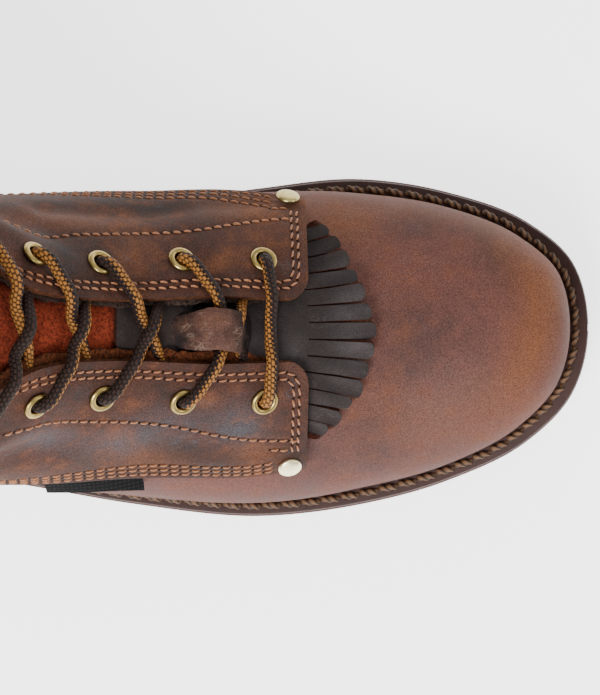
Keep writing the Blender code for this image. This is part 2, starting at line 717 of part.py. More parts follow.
def across_ridge(skin, along, turn, lift):
    """A point of the last beside the ridge, found by a ray from inside, then moved out by lift."""
    step = 1e-3
    x, z = RIDGE_CURVE.at(along)
    ahead_x, ahead_z = RIDGE_CURVE.at(along + step) - RIDGE_CURVE.at(along - step)
    up = Vector((ahead_z, 0, -ahead_x)).normalized()
    inside = Vector((x, AXIS_Y, z)) - up * 0.040
    ray = up * math.cos(turn) + Vector((0, 1, 0)) * math.sin(turn)
    hit, normal, _, _ = skin.ray_cast(inside, ray)
    if normal.dot(ray) < 0:
        normal = -normal
    return hit + normal * lift


def build_tongue(skin, parts, finishes):
    """The tongue under the throat, wider than the opening, standing a little above the collar."""
    below = -(UPPER_WALL + 0.0009)
    alongs = np.linspace(0.062, 0.250, 12)
    half_turn = np.radians(np.interp(alongs, [0.062, 0.12, 0.18, 0.25], [36, 42, 56, 54]))
    shares = np.linspace(-1, 1, 9)
    points = np.array([[across_ridge(skin, along, turn * share, below) for share in shares]
                       for along, turn in zip(alongs, half_turn)])
    top = points[-1] + (points[-1] - points[-2]) * 1.4
    narrow = AXIS_Y + (top[:, 1] - AXIS_Y) * 0.8
    points = np.concatenate([points, [np.column_stack([top[:, 0], narrow, top[:, 2]])]])
    solid_sheet("tongue", grid_shape(points), TONGUE_WALL, finishes["tongue"], parts, outwards=False)


def last_skin():
    """The whole last as one closed-over sheet, for laying pieces onto it from above."""
    u = np.linspace(0, EDGE_LENGTH, 361)[None, :]
    v = np.linspace(0, 1, 61)[:, None]
    shape = grid_shape(last_point(u, v), closed=True)
    tree = BVHTree.FromBMesh(shape)
    shape.free()
    return tree


def laid(skin, x, y, lift):
    """A point above (x, y) on the last, moved out along its normal."""
    hit, normal, _, _ = skin.ray_cast(Vector((x, y, 0.4)), Vector((0, 0, -1)))
    if normal.z < 0:
        normal = -normal
    return hit + normal * lift


def kiltie_lift(x):
    """The kiltie lies on the tongue under the laces and comes up over the vamp in front of the throat."""
    on_tongue = -(0.0008 + KILTIE_WALL)
    return on_tongue + (0.0007 - on_tongue) * float(smooth_step(0.026, 0.043, x))


def build_kiltie(skin, parts, finishes):
    """Neck and fan in one sheet: strips separated by slits that stop short of the neck."""
    angle = math.radians(FRINGE_HALF_ANGLE)
    pitch = 2 * angle / FRINGE_STRIPS
    slit = FRINGE_SLIT / FRINGE_OUTER_RADIUS
    turns = [-angle]
    for strip in range(1, FRINGE_STRIPS):
        turns += [-angle + strip * pitch - slit / 2, -angle + strip * pitch + slit / 2]
    turns.append(angle)
    neck_rows = 5
    fan_radii = np.linspace(FRINGE_INNER_RADIUS, FRINGE_OUTER_RADIUS, 4)
    rows = []
    for i in range(neck_rows):
        share = i / neck_rows
        row = []
        for turn in turns:
            arc_x = FRINGE_CENTRE_X + FRINGE_INNER_RADIUS * math.cos(turn)
            arc_y = FRINGE_INNER_RADIUS * math.sin(turn)
            x = KILTIE_BACK_X + (arc_x - KILTIE_BACK_X) * share
            y = KILTIE_NECK_HALF_WIDTH * turn / angle * (1 - share**3) + arc_y * share**3
            row.append(laid(skin, x, AXIS_Y + y, kiltie_lift(x)))
        rows.append(row)
    for radius in fan_radii:
        row = []
        for turn in turns:
            x = FRINGE_CENTRE_X + radius * math.cos(turn)
            row.append(laid(skin, x, AXIS_Y + radius * math.sin(turn), kiltie_lift(x)))
        rows.append(row)
    shape = grid_shape(np.array(rows))
    shape.faces.ensure_lookup_table()
    columns = len(turns) - 1
    slits = [shape.faces[row * columns + column]
             for row in range(neck_rows, neck_rows + len(fan_radii) - 1)
             for column in range(1, columns, 2)]
    bmesh.ops.delete(shape, geom=slits, context="FACES")
    bmesh.ops.reverse_faces(shape, faces=shape.faces)
    bmesh.ops.recalc_face_normals(shape, faces=shape.faces)
    solid_sheet("kiltie", shape, KILTIE_WALL, finishes["kiltie"], parts)


def build_keeper(skin, parts, finishes):
    """The leather loop on the kiltie that holds the first crossing of the lace down."""
    back_x, front_x, half_width, wall, clear, ramp = 0.0205, 0.0452, 0.0064, 0.0015, 0.0080, 0.0034
    steps = np.array([0, 0.5, 1])
    x = np.concatenate([back_x + ramp * steps, [0.030, 0.036], front_x - ramp * steps[::-1]])
    arch = smooth_step(back_x, back_x + ramp, x) * smooth_step(front_x, front_x - ramp, x)
    points = [[laid(skin, a, AXIS_Y + half_width * side, kiltie_lift(a) + KILTIE_WALL + 0.0006 + clear * up)
               for a, up in zip(x, arch)] for side in (-1, 0, 1)]
    solid_sheet("lace_keeper", grid_shape(np.array(points)), wall, finishes["kiltie"], parts)


def build_tag(parts, finishes):
    """A plain woven tag that hangs from the outer flap's lower seam."""
    back_x, front_x, wall, tucked, drop, stand_off = -0.0220, 0.0090, 0.0009, 0.0010, 0.055, 0.0022
    samples = np.linspace(HEEL_U, EDGE_LENGTH, 3000)
    seam_x = last_point(samples, seam_bottom(samples))[:, 0]
    u = np.interp(np.linspace(back_x, front_x, 6), seam_x, samples)
    below = np.linspace(1, 0, 4)[:, None]
    v = seam_bottom(u)[None, :] - 0.005 - drop * below
    points = lifted(np.broadcast_to(u, v.shape), v, tucked + stand_off * below)
    solid_sheet("side_tag", grid_shape(points), wall, finishes["tag"], parts)


# Laces


def ridge_place(point):
    """Distance along the ridge and turn about it of a point beside the ridge."""
    along = np.linspace(0.03, RIDGE_LENGTH, 1500)
    ridge = RIDGE_CURVE.at(along)
    step = np.gradient(ridge, axis=0)
    step /= np.linalg.norm(step, axis=1, keepdims=True)
    off = np.stack([point[0] - ridge[:, 0], point[2] - ridge[:, 1]], 1)
    i = np.argmin(np.abs((off * step).sum(1)) + 0.2 * np.linalg.norm(off, axis=1))
    up = np.array([step[i, 1], -step[i, 0]])
    height = float(off[i] @ up) + 0.040
    return along[i], math.atan2(point[1] - AXIS_Y, height)


def lace_lift(point, along):
    """Height of a lace's middle above the last: over the flaps, or down between them."""
    radius = LACE_DIAMETER / 2
    gap = float(THROAT_CURVE.at(min(max(along, THROAT[0].along), THROAT[-1].along))[0])
    on_flap = float(flap_lift(np.array(point))) + FLAP_WALL + 0.0023 + radius
    in_gap = kiltie_lift(point[0]) + KILTIE_WALL if point[0] > KILTIE_BACK_X - 0.004 else -UPPER_WALL
    in_gap += 0.0006 + radius
    share = float(smooth_step(gap - 0.0045, gap + 0.0005, abs(point[1] - AXIS_Y)))
    return in_gap + (on_flap - in_gap) * share


def lace_path(skin, start, end, stop_in_gap):
    """Points of a lace from one eyelet towards another, as a straight run round the ridge."""
    first, first_turn = ridge_place(start)
    last, last_turn = ridge_place(end)
    path = []
    for share in np.linspace(0.02, 0.98, 19):
        along, turn = first + (last - first) * share, first_turn + (last_turn - first_turn) * share
        base = across_ridge(skin, along, turn, 0.0)
        gap = float(THROAT_CURVE.at(min(max(along, THROAT[0].along), THROAT[-1].along))[0])
        if stop_in_gap and share > 0.5 and abs(base.y - AXIS_Y) > gap - 0.0030:
            break
        path.append(across_ridge(skin, along, turn, lace_lift(base, along)))
    return path[::2] if len(path) % 2 else path[::2] + path[-1:]


def cord_mesh(name, path):
    """A round cord along a path, as a curve with a bevel and filled ends, made into a mesh."""
    curve = bpy.data.curves.new(name, "CURVE")
    curve.dimensions = "3D"
    curve.bevel_depth = LACE_DIAMETER / 2
    curve.bevel_resolution = 1
    curve.use_fill_caps = True
    spline = curve.splines.new("POLY")
    spline.points.add(len(path) - 1)
    for point, place in zip(spline.points, path):
        point.co = (*place, 1)
    guide = bpy.data.objects.new(f"{name}_guide", curve)
    bpy.context.scene.collection.objects.link(guide)
    graph = bpy.context.evaluated_depsgraph_get()
    mesh = bpy.data.meshes.new_from_object(guide.evaluated_get(graph))
    bpy.data.objects.remove(guide)
    mesh.name = name
    mesh.materials.clear()
    return mesh


def build_laces(skin, parts, cutters, finishes):
    """A bar over the first eyelets, then a crossing between each pair and the next."""
    inner = [np.array(place.translation) for place in eyelet_places(skin, 1)]
    outer = [np.array(place.translation) for place in eyelet_places(skin, -1)]
    bar = cord_mesh("lace_bar", lace_path(skin, inner[0], outer[0], False))
    add_object("lace_bar", bar, finishes["lace"], parts)
    for index in range(EYELET_COUNT - 1):
        name = f"lace_cross_{index + 1}"
        down_out = cord_mesh(name, lace_path(skin, inner[index + 1], outer[index], True))
        down_in = cord_mesh(f"{name}_other", lace_path(skin, outer[index + 1], inner[index], True))
        cross = add_object(name, down_out, finishes["lace"], parts)
        other = bpy.data.objects.new(f"{name}_other", down_in)
        other.hide_render = True
        other.display_type = "WIRE"
        cutters.objects.link(other)
        joined = cross.modifiers.new("other_side", "BOOLEAN")
        joined.operation = "UNION"
        joined.object = other


def clear_scene():
    for old in list(bpy.data.objects):
        bpy.data.objects.remove(old)


def main():
    clear_scene()
    parts = new_collection("work_boot")
    cutters = new_collection("cutters")
    finishes = {
        "leather": material("oiled_leather", (0.16, 0.085, 0.055), 0.55),
        "kiltie": material("waxed_dark_leather", (0.055, 0.042, 0.036), 0.5),
        "tongue": material("rust_suede", (0.26, 0.075, 0.03), 0.95),
        "welt": material("dark_welt", (0.06, 0.042, 0.035), 0.5),
        "midsole": material("brown_midsole", (0.18, 0.095, 0.07), 0.6),
        "outsole": material("brown_rubber", (0.15, 0.085, 0.065), 0.8),
        "insole": material("insole_board", (0.30, 0.22, 0.15), 0.9),
        "brass": material("antique_brass", (0.55, 0.44, 0.22), 0.35, 1.0),
        "lace": material("lace_cord", (0.24, 0.13, 0.05), 0.8),
        "tag": material("woven_tag", (0.01, 0.01, 0.01), 0.85),
    }
    skin = last_skin()
    build_sole(parts, cutters, finishes)
    build_upper(parts, finishes)
    build_flap(skin, 1, "flap_inner", parts, cutters, finishes)
    build_flap(skin, -1, "flap_outer", parts, cutters, finishes)
    build_fastenings(skin, parts, finishes)
    build_backstay(parts, finishes)
    build_tongue(skin, parts, finishes)
    build_kiltie(skin, parts, finishes)
    build_keeper(skin, parts, finishes)
    build_tag(parts, finishes)
    build_laces(skin, parts, cutters, finishes)


main()
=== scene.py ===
# %% [markdown]
# # Dressing a lace-up work boot
#
# The boot's solids are made and packed already. This lesson loads them as a fixed frame and gives every
# piece its looks: oiled leather, raw edges, rows of stitches, a braided lace, brass fittings and a lugged
# sole. Each step says what the piece is on the real boot, how it could be made, and why this way was chosen.

# %% Load the solids
import math
from collections import namedtuple
from functools import partial

import bmesh
import bpy
import numpy as np
from mathutils import Matrix, Vector
from mathutils.bvhtree import BVHTree
from mathutils.kdtree import KDTree


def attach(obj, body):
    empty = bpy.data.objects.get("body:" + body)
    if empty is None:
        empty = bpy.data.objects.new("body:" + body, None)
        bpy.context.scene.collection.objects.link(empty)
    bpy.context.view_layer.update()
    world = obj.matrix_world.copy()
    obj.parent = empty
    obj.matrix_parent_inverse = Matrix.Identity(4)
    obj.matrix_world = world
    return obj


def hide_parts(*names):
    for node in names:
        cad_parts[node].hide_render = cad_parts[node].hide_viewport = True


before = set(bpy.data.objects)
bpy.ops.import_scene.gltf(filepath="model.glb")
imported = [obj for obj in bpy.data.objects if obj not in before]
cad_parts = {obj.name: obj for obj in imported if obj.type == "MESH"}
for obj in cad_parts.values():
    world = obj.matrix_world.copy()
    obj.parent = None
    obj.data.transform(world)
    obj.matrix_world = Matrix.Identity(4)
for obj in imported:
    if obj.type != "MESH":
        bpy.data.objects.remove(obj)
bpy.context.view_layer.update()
print("solids loaded:", len(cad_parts))

# %% [markdown]
# ## Camera
#
# The photo looks straight down on the boot, toe to the right. A camera that hangs above the boot and looks
# down needs no turning at all in Blender. Its height and lens follow from the size of a pixel on the floor.

# %% Camera above the boot
PHOTO_HEIGHT = 695
CAMERA_HEIGHT = 0.9
METRES_PER_PIXEL = 0.0003439
VIEW_CENTRE_X = 0.0591
SENSOR_MM = 36
NEAREST_SEEN = 0.01

camera_data = bpy.data.cameras.new("photo_camera")
camera_data.sensor_width = SENSOR_MM
camera_data.lens = SENSOR_MM * CAMERA_HEIGHT / (PHOTO_HEIGHT * METRES_PER_PIXEL)
camera_data.clip_start = NEAREST_SEEN
camera = bpy.data.objects.new("photo_camera", camera_data)
camera.location = (VIEW_CENTRE_X, 0, CAMERA_HEIGHT)
bpy.context.scene.collection.objects.link(camera)
bpy.context.scene.camera = camera
print("lens in mm:", round(camera_data.lens, 1))

# %% [markdown]
# ## Light
#
# Product photos use large soft boxes, so shadows are wide and pale. One large lamp stands high on the boot's
# outer side, towards the heel, and leaves the far side of the vamp and flaps darker; a low white card beside
# it lights the side wall and the rivet's dome. Weaker lamps fill in from the inner side and from the toe,
# and a pale world does the rest.

# %% Soft lights and a pale world
SoftBox = namedtuple("SoftBox", "name place target size watts")
SOFT_BOXES = [
    SoftBox("key_light", (-0.30, -0.62, 1.05), (0.03, 0, 0.05), 0.6, 22),
    SoftBox("side_card", (0.05, -1.10, 0.40), (0.05, -0.04, 0.06), 0.6, 4),
    SoftBox("fill_light", (0.30, 0.70, 0.90), (0.05, 0, 0.05), 0.9, 3.2),
    SoftBox("toe_light", (0.95, -0.10, 0.65), (0.10, 0, 0.05), 0.6, 4),
]
WORLD_WHITE = (1.0, 0.99, 0.98, 1)
WORLD_STRENGTH = 0.58

for box in SOFT_BOXES:
    lamp = bpy.data.lights.new(box.name, "AREA")
    lamp.shape = "DISK"
    lamp.size = box.size
    lamp.energy = box.watts
    holder = bpy.data.objects.new(box.name, lamp)
    holder.location = box.place
    holder.rotation_euler = (Vector(box.target) - Vector(box.place)).to_track_quat("-Z", "Y").to_euler()
    bpy.context.scene.collection.objects.link(holder)
world = bpy.data.worlds.new("pale_studio")
world.use_nodes = True
background = world.node_tree.nodes["Background"]
background.inputs["Color"].default_value = WORLD_WHITE
background.inputs["Strength"].default_value = WORLD_STRENGTH
bpy.context.scene.world = world
print("lamps:", [box.name for box in SOFT_BOXES])

# %% [markdown]
# ## A small kit for materials
#
# Colours are picked as web colours, which are sRGB, and Blender's shaders want linear light, so one function
# turns one into the other. Another adds a node with its settings and its links, so that each finish below
# reads as a short list of what it is made of. Texture scales are counts per metre, worked out from a size
# in millimetres. Sockets go by name, or by number where a node has two of one name: a Mix node's factor is
# 0 and its colours are 6 and 7, Math takes 0, 1 and 2, and Map Range turns 1 to 2 into 3 to 4.


# %% Colour, node and scale helpers
def colour(hex_code):
    parts = [int(hex_code[i:i + 2], 16) / 255 for i in (1, 3, 5)]
    return (*[c / 12.92 if c <= 0.04045 else ((c + 0.055) / 1.055) ** 2.4 for c in parts], 1.0)


def per_mm(size):
    return 1000.0 / size


def fill_sockets(node, values):
    """Set constants and link sockets; a node stands for its first output in use."""
    for socket, value in values.items():
        if isinstance(value, bpy.types.Node):
            value = next(out for out in value.outputs if out.enabled)
        if isinstance(value, bpy.types.NodeSocket):
            node.id_data.links.new(value, node.inputs[socket])
        else:
            node.inputs[socket].default_value = value


def add_node(tree, kind, inputs=None, **settings):
    made = tree.nodes.new("ShaderNode" + kind)
    for name, value in settings.items():
        setattr(made, name, value)
    fill_sockets(made, inputs or {})
    return made


def new_finish(name):
    made = bpy.data.materials.new(name)
    made.use_nodes = True
    add = partial(add_node, made.node_tree)
    return made, add, made.node_tree.nodes["Principled BSDF"], add("TexCoord").outputs["Object"]


print("mid grey in linear light:", round(colour("#808080")[0], 3))

# %% [markdown]
# ## The floor
#
# The studio table is a plain pale sheet, lit from below a little, as light tables are. A large grid with a
# matt, slightly mottled paint is enough.

# %% Pale floor
FLOOR_GLOW = 2.2
FLOOR_HALF_SIZE = 3.0

floor_finish, add, shader, place = new_finish("matt_white_table")
mottle = add("TexNoise", {"Vector": place, "Scale": per_mm(120), "Detail": 2.0})
tint = add("Mix", {0: mottle, 6: colour("#F4F3F2"), 7: colour("#F8F8F7")}, data_type="RGBA")
fill_sockets(shader, {"Base Color": tint, "Roughness": 0.9, "Emission Color": colour("#FFFFFF"),
                            "Emission Strength": FLOOR_GLOW})
floor_shape = bmesh.new()
bmesh.ops.create_grid(floor_shape, x_segments=8, y_segments=8, size=FLOOR_HALF_SIZE)
floor_mesh = bpy.data.meshes.new("floor")
floor_shape.to_mesh(floor_mesh)
floor_shape.free()
floor_mesh.materials.append(floor_finish)
floor = bpy.data.objects.new("floor", floor_mesh)
bpy.context.scene.collection.objects.link(floor)
print("floor in metres:", 2 * FLOOR_HALF_SIZE)

# %% [markdown]
# ## The last
#
# A shoemaker pulls leather over a last, a block with the form of the foot. The solids were made from such a
# form, kept as a few short tables, and the same tables are repeated here. Any leather piece can then be laid
# on the last as finely as it needs to be, and still sits where its solid does.

# %% Tables of the last
GAP = 0.00045
FLAP_GAP = 0.0009
AXIS_Y = 0.0052
UPPER_WALL = 0.0022
FLAP_WALL = 0.0024
KILTIE_WALL = 0.0018
TONGUE_WALL = 0.0030
WELT_THICKNESS = 0.0035
MIDSOLE_THICKNESS = 0.0040
OUTSOLE_THICKNESS = 0.0095
INSOLE_THICKNESS = 0.0050
HEEL_BREAST_X = -0.078
LACE_DIAMETER = 0.0038
EYELET_COUNT = 8
EYELET_OUTER_RADIUS = 0.0044
EYELET_HOLE_RADIUS = 0.0023
RIVET_RADIUS = 0.0038

Rib = namedtuple("Rib", "name x inner outer margin rise lean_inner lean_outer rim sweep crown")
RIBS = [
    Rib("toe tip", 0.1565, 0.0072, 0.0072, 0.0094, 0.031, 2, 2, 0.000, 0, 0.027),
    Rib("toe", 0.1506, 0.0300, -0.0166, 0.0092, 0.031, 4, 4, 0.020, 30, 0.027),
    Rib("toe corner", 0.1360, 0.0428, -0.0320, 0.0090, 0.031, 7, 7, 0.046, 50, 0.026),
    Rib("forefoot", 0.1100, 0.0529, -0.0452, 0.0086, 0.031, 10, 10, 0.088, 72, 0.026),
    Rib("ball", 0.0790, 0.05765, -0.0538, 0.0086, 0.031, 12, 10, 0.150, 86, 0.026),
    Rib("vamp", 0.0450, 0.0544, -0.05765, 0.0066, 0.036, 22, 9, 0.270, 90, 0.024),
    Rib("waist", 0.0050, 0.0482, -0.0536, 0.0050, 0.044, 24, 9, 0.470, 90, 0.024),
    Rib("arch", -0.0350, 0.0450, -0.0462, 0.0046, 0.050, 19, 9, 0.740, 90, 0.025),
    Rib("heel breast", -0.0720, 0.0446, -0.0392, 0.0050, 0.054, 9, 8, 1.050, 90, 0.036),
    Rib("heel", -0.1080, 0.0446, -0.0346, 0.0054, 0.052, 4, 5, 1.400, 90, 0.058),
    Rib("heel turn", -0.1400, 0.0362, -0.0262, 0.0055, 0.048, 6, 6, 1.740, 90, 0.074),
    Rib("heel back", -0.1565, 0.0050, 0.0050, 0.0060, 0.045, 9, 9, 2.000, 90, 0.080),
]
Ridge = namedtuple("Ridge", "name x z")
RIDGE = [
    Ridge("toe crest", 0.1120, 0.0660),
    Ridge("vamp", 0.0820, 0.0740),
    Ridge("throat", 0.0580, 0.0820),
    Ridge("low instep", 0.0350, 0.0920),
    Ridge("instep", 0.0120, 0.1040),
    Ridge("high instep", -0.0100, 0.1195),
    Ridge("bend", -0.0290, 0.1400),
    Ridge("shaft foot", -0.0390, 0.1660),
    Ridge("shaft", -0.0430, 0.2000),
    Ridge("collar front", -0.0448, 0.2300),
]
COLLAR_CENTRE_X = -0.0940
COLLAR_HALF_LENGTH = 0.0490
COLLAR_HALF_WIDTH = 0.0445
COLLAR_BACK_Z = 0.2360
COLLAR_FLARE = 7.0
HEEL_FLARE = 16.0
Shaft = namedtuple("Shaft", "z front back half_width")
SHAFT = [
    Shaft(0.110, -0.0020, -0.1420, 0.0410),
    Shaft(0.140, -0.0290, -0.1385, 0.0405),
    Shaft(0.166, -0.0390, -0.1375, 0.0410),
    Shaft(0.200, -0.0430, -0.1390, 0.0425),
    Shaft(0.240, -0.0450, -0.1425, 0.0445),
    Shaft(0.260, -0.0455, -0.1440, 0.0455),
]
SHAFT_FROM_Z = 0.092
SHAFT_FULL_Z = 0.146
Level = namedtuple("Level", "x z")
SOLE_TOP = [
    Level(-0.1565, 0.0400),
    Level(-0.1000, 0.0375),
    Level(-0.0550, 0.0315),
    Level(-0.0100, 0.0222),
    Level(0.0350, 0.0165),
    Level(0.0850, 0.0160),
    Level(0.1200, 0.0190),
    Level(0.1565, 0.0270),
]
Throat = namedtuple("Throat", "along half_gap")
THROAT = [
    Throat(0.050, 0.0080),
    Throat(0.095, 0.0088),
    Throat(0.122, 0.0084),
    Throat(0.146, 0.0102),
    Throat(0.172, 0.0178),
    Throat(0.196, 0.0230),
    Throat(0.255, 0.0250),
]
FLAP_FRONT_X = 0.0600
FLAP_CORNER_RADIUS = 0.0070
OPENING_FRONT_X = 0.0520
OPENING_ROUND_X = 0.0400
EYELET_FIRST = 0.0060
EYELET_LAST = 0.0130
EYELET_FROM_EDGE = 0.0118
Seam = namedtuple("Seam", "x inner outer")
SEAM = [
    Seam(0.0600, 0.0545, 0.0585),
    Seam(0.0420, 0.0545, 0.0602),
    Seam(0.0200, 0.0565, 0.0675),
    Seam(0.0000, 0.0600, 0.0740),
    Seam(-0.0250, 0.0645, 0.0765),
    Seam(-0.0600, 0.0700, 0.0785),
    Seam(-0.1560, 0.0900, 0.0900),
]

# %% [markdown]
# ## Reading the tables
#
# The tables hold only a few rows, and a Bezier path in the editor could draw through them by eye. Here the
# curve between two rows is worked out from the rows beside it, so that every piece reads the same last. A
# table with a period closes on itself, as the sole's outline does.


# %% Smooth curves through tables
class SmoothTable:
    def __init__(self, knots, rows, period=None):
        knots = np.asarray(knots, float)
        rows = np.asarray(rows, float)
        if period:
            knots = np.concatenate([knots[-3:] - period, knots, knots[:3] + period])
            rows = np.concatenate([rows[-3:], rows, rows[:3]])
        step = np.diff(knots)[:, None]
        slope = np.diff(rows, axis=0) / step
        inner = (step[1:] * slope[:-1] + step[:-1] * slope[1:]) / (step[1:] + step[:-1])
        self.slopes = np.concatenate([slope[:1], inner, slope[-1:]])
        self.knots, self.rows, self.period = knots, rows, period

    def at(self, places):
        places = np.asarray(places, float)
        if self.period:
            places = places % self.period
        i = np.clip(np.searchsorted(self.knots, places, side="right") - 1, 0, len(self.knots) - 2)
        step = (self.knots[i + 1] - self.knots[i])[..., None]
        t = (places - self.knots[i])[..., None] / step
        start, end = self.rows[i], self.rows[i + 1]
        leave, arrive = self.slopes[i] * step, self.slopes[i + 1] * step
        ease = t * t * (3 - 2 * t)
        return start + (end - start) * ease + t * (1 - t) ** 2 * leave - t * t * (1 - t) * arrive


def chord_lengths(points):
    return np.concatenate([[0.0], np.cumsum(np.linalg.norm(np.diff(points, axis=0), axis=1))])


def smooth_step(low, high, value):
    t = np.clip((value - low) / (high - low), 0.0, 1.0)
    return t * t * (3 - 2 * t)


inner_rows = [(r.x, r.inner, r.margin, r.rise, r.lean_inner, r.rim, r.sweep, r.crown) for r in RIBS]
outer_rows = [(r.x, r.outer, r.margin, r.rise, r.lean_outer, r.rim, r.sweep, r.crown) for r in RIBS[-2:0:-1]]
EDGE_ROWS = np.array(inner_rows + outer_rows)
EDGE_CHORDS = chord_lengths(np.vstack([EDGE_ROWS[:, :2], EDGE_ROWS[:1, :2]]))
EDGE_LENGTH = EDGE_CHORDS[-1]
EDGE = SmoothTable(EDGE_CHORDS[:-1], EDGE_ROWS, period=EDGE_LENGTH)
HEEL_U = EDGE_CHORDS[len(RIBS) - 1]
RIDGE_XZ = np.array([(r.x, r.z) for r in RIDGE])
RIDGE_CHORDS = chord_lengths(RIDGE_XZ)
RIDGE_LENGTH = RIDGE_CHORDS[-1]
RIDGE_CURVE = SmoothTable(RIDGE_CHORDS, RIDGE_XZ)
SHAFT_CURVE = SmoothTable([r.z for r in SHAFT], [r[1:] for r in SHAFT])
SOLE_TOP_CURVE = SmoothTable([r.x for r in SOLE_TOP], [[r.z] for r in SOLE_TOP])
THROAT_CURVE = SmoothTable([r.along for r in THROAT], [[r.half_gap] for r in THROAT])
SEAM_CURVE = SmoothTable([-r.x for r in SEAM], [r[1:] for r in SEAM])
print("welt loop in mm:", round(EDGE_LENGTH * 1000, 1), "ridge in mm:", round(RIDGE_LENGTH * 1000, 1))

# %% [markdown]
# ## Ribs
#
# A rib of the last is a single Bezier curve from the welt up to the ridge or the collar. Ribs are counted by
# the way round the welt, u, and by the share of the way up, v. The rim's count goes from 0 to 1 along the
# ridge and from 1 to 2 round the collar. Above the ankle the points are drawn onto the oval of the shaft.


# %% Ribs of the last
SMALL_STEP = 1e-4
COLLAR_STARTS, COLLAR_SIDE, COLLAR_BACK = 0.95, 1.5, 2.0
LEAST_REACH = 0.2


def sole_top(x):
    return SOLE_TOP_CURVE.at(x)[..., 0]


def edge_point(u, inset):
    here = EDGE.at(u)[..., :2]
    along = EDGE.at(u + SMALL_STEP)[..., :2] - EDGE.at(u - SMALL_STEP)[..., :2]
    along /= np.linalg.norm(along, axis=-1, keepdims=True)
    outward = np.stack([along[..., 1], -along[..., 0]], -1)
    return here - outward * np.asarray(inset)[..., None], outward


def rim_point(rim, side, sweep):
    along = np.clip(rim, 0, 1) * RIDGE_LENGTH
    ridge = RIDGE_CURVE.at(along)
    forward = RIDGE_CURVE.at(along - SMALL_STEP) - RIDGE_CURVE.at(along + SMALL_STEP)
    forward /= np.linalg.norm(forward, axis=-1, keepdims=True)
    across = np.radians(sweep)
    turn = np.pi * np.clip(rim - 1, 0, 1)
    round_collar = rim > 1
    x = np.where(round_collar, COLLAR_CENTRE_X + COLLAR_HALF_LENGTH * np.cos(turn), ridge[..., 0])
    y = AXIS_Y + side * COLLAR_HALF_WIDTH * np.sin(turn)
    rise = RIDGE[-1].z + (COLLAR_BACK_Z - RIDGE[-1].z) * turn / np.pi
    z = np.where(round_collar, rise, ridge[..., 1])
    to_ridge = np.stack([np.cos(across) * forward[..., 0], side * np.sin(across),
                         np.cos(across) * forward[..., 1]], -1)
    to_heel = smooth_step(COLLAR_SIDE, COLLAR_BACK, rim)
    flare = np.radians(COLLAR_FLARE + (HEEL_FLARE - COLLAR_FLARE) * to_heel)
    to_collar = np.stack([-np.cos(turn) * np.sin(flare), -side * np.sin(turn) * np.sin(flare),
                          -np.cos(flare)], -1)
    share = smooth_step(COLLAR_STARTS, COLLAR_SIDE, rim)[..., None]
    come_from = to_ridge * (1 - share) + to_collar * share
    come_from /= np.linalg.norm(come_from, axis=-1, keepdims=True)
    return np.stack([x, y, z], -1), come_from


def onto_shaft(points):
    x, y, z = np.moveaxis(points, -1, 0)
    front, back, half_width = np.moveaxis(SHAFT_CURVE.at(np.clip(z, SHAFT[0].z, SHAFT[-1].z)), -1, 0)
    middle, half_length = (front + back) / 2, (front - back) / 2
    reach = np.hypot((x - middle) / half_length, (y - AXIS_Y) / half_width)
    share = smooth_step(SHAFT_FROM_Z, SHAFT_FULL_Z, z)
    scale = 1 + (1 / np.maximum(reach, LEAST_REACH) - 1) * share
    return np.stack([middle + (x - middle) * scale, AXIS_Y + (y - AXIS_Y) * scale, z], -1)


def last_point(u, v):
    u, v = np.broadcast_arrays(np.asarray(u, float), np.asarray(v, float))
    row = EDGE.at(u)
    side = np.where(u % EDGE_LENGTH < HEEL_U, 1.0, -1.0)
    margin, rise, lean, rim, sweep, crown = np.moveaxis(row[..., 2:], -1, 0)
    plan, outward = edge_point(u, margin)
    foot = np.stack([plan[..., 0], plan[..., 1], sole_top(plan[..., 0]) + GAP], -1)
    lean = np.radians(lean)
    up = np.stack([outward[..., 0] * np.sin(lean), outward[..., 1] * np.sin(lean), np.cos(lean)], -1)
    end, come_from = rim_point(rim, side, sweep)
    first = foot + up * rise[..., None]
    last = end + come_from * crown[..., None]
    t = v[..., None]
    rib = foot * (1 - t) ** 3 + 3 * first * t * (1 - t) ** 2 + 3 * last * t * t * (1 - t) + end * t**3
    return onto_shaft(rib)


def last_normal(u, v):
    small_u, small_v = 2 * SMALL_STEP, 20 * SMALL_STEP
    u, v = np.broadcast_arrays(np.asarray(u, float), np.asarray(v, float))
    along = last_point(u + small_u, v) - last_point(u - small_u, v)
    up = last_point(u, np.minimum(v + small_v, 1)) - last_point(u, v - small_v)
    normal = np.cross(along, up)
    return normal / np.linalg.norm(normal, axis=-1, keepdims=True)


def lifted(u, v, lift):
    lift = np.broadcast_to(np.asarray(lift, float), np.broadcast_shapes(np.shape(u), np.shape(v)))
    return last_point(u, v) + last_normal(u, v) * lift[..., None]


print("heel's back in mm:", np.round(last_point(HEEL_U, [0.0, 1.0]) * 1000, 1).tolist())

# %% [markdown]
# ## Where the leather is cut
#
# The flaps end at the throat, at a seam low on the side and at a front edge with a rounded corner. In the
# editor these would be knife cuts. Here each limit is found on the ribs by halving a span again and again,
# once for many ribs, and then read off by interpolation, so a limit that moves takes its pieces with it.


# %% Throat, opening and seam on the ribs
WIDEST_OPENING = 0.0350
RIB_STEPS = 241
HIGHEST_SEAM = 0.8
EDGE_SAMPLES = 1601


def halved(low, high, goes_on, rounds):
    """Narrow each span by halves; goes_on says where the middle becomes the low end."""
    for _ in range(rounds):
        middle = (low + high) / 2
        upper_half = goes_on(middle)
        low = np.where(upper_half, middle, low)
        high = np.where(upper_half, high, middle)
    return low, high


def from_ridge(points):
    return np.abs(points[..., 1] - AXIS_Y)


def rim_of(u):
    return EDGE.at(u)[..., 5]


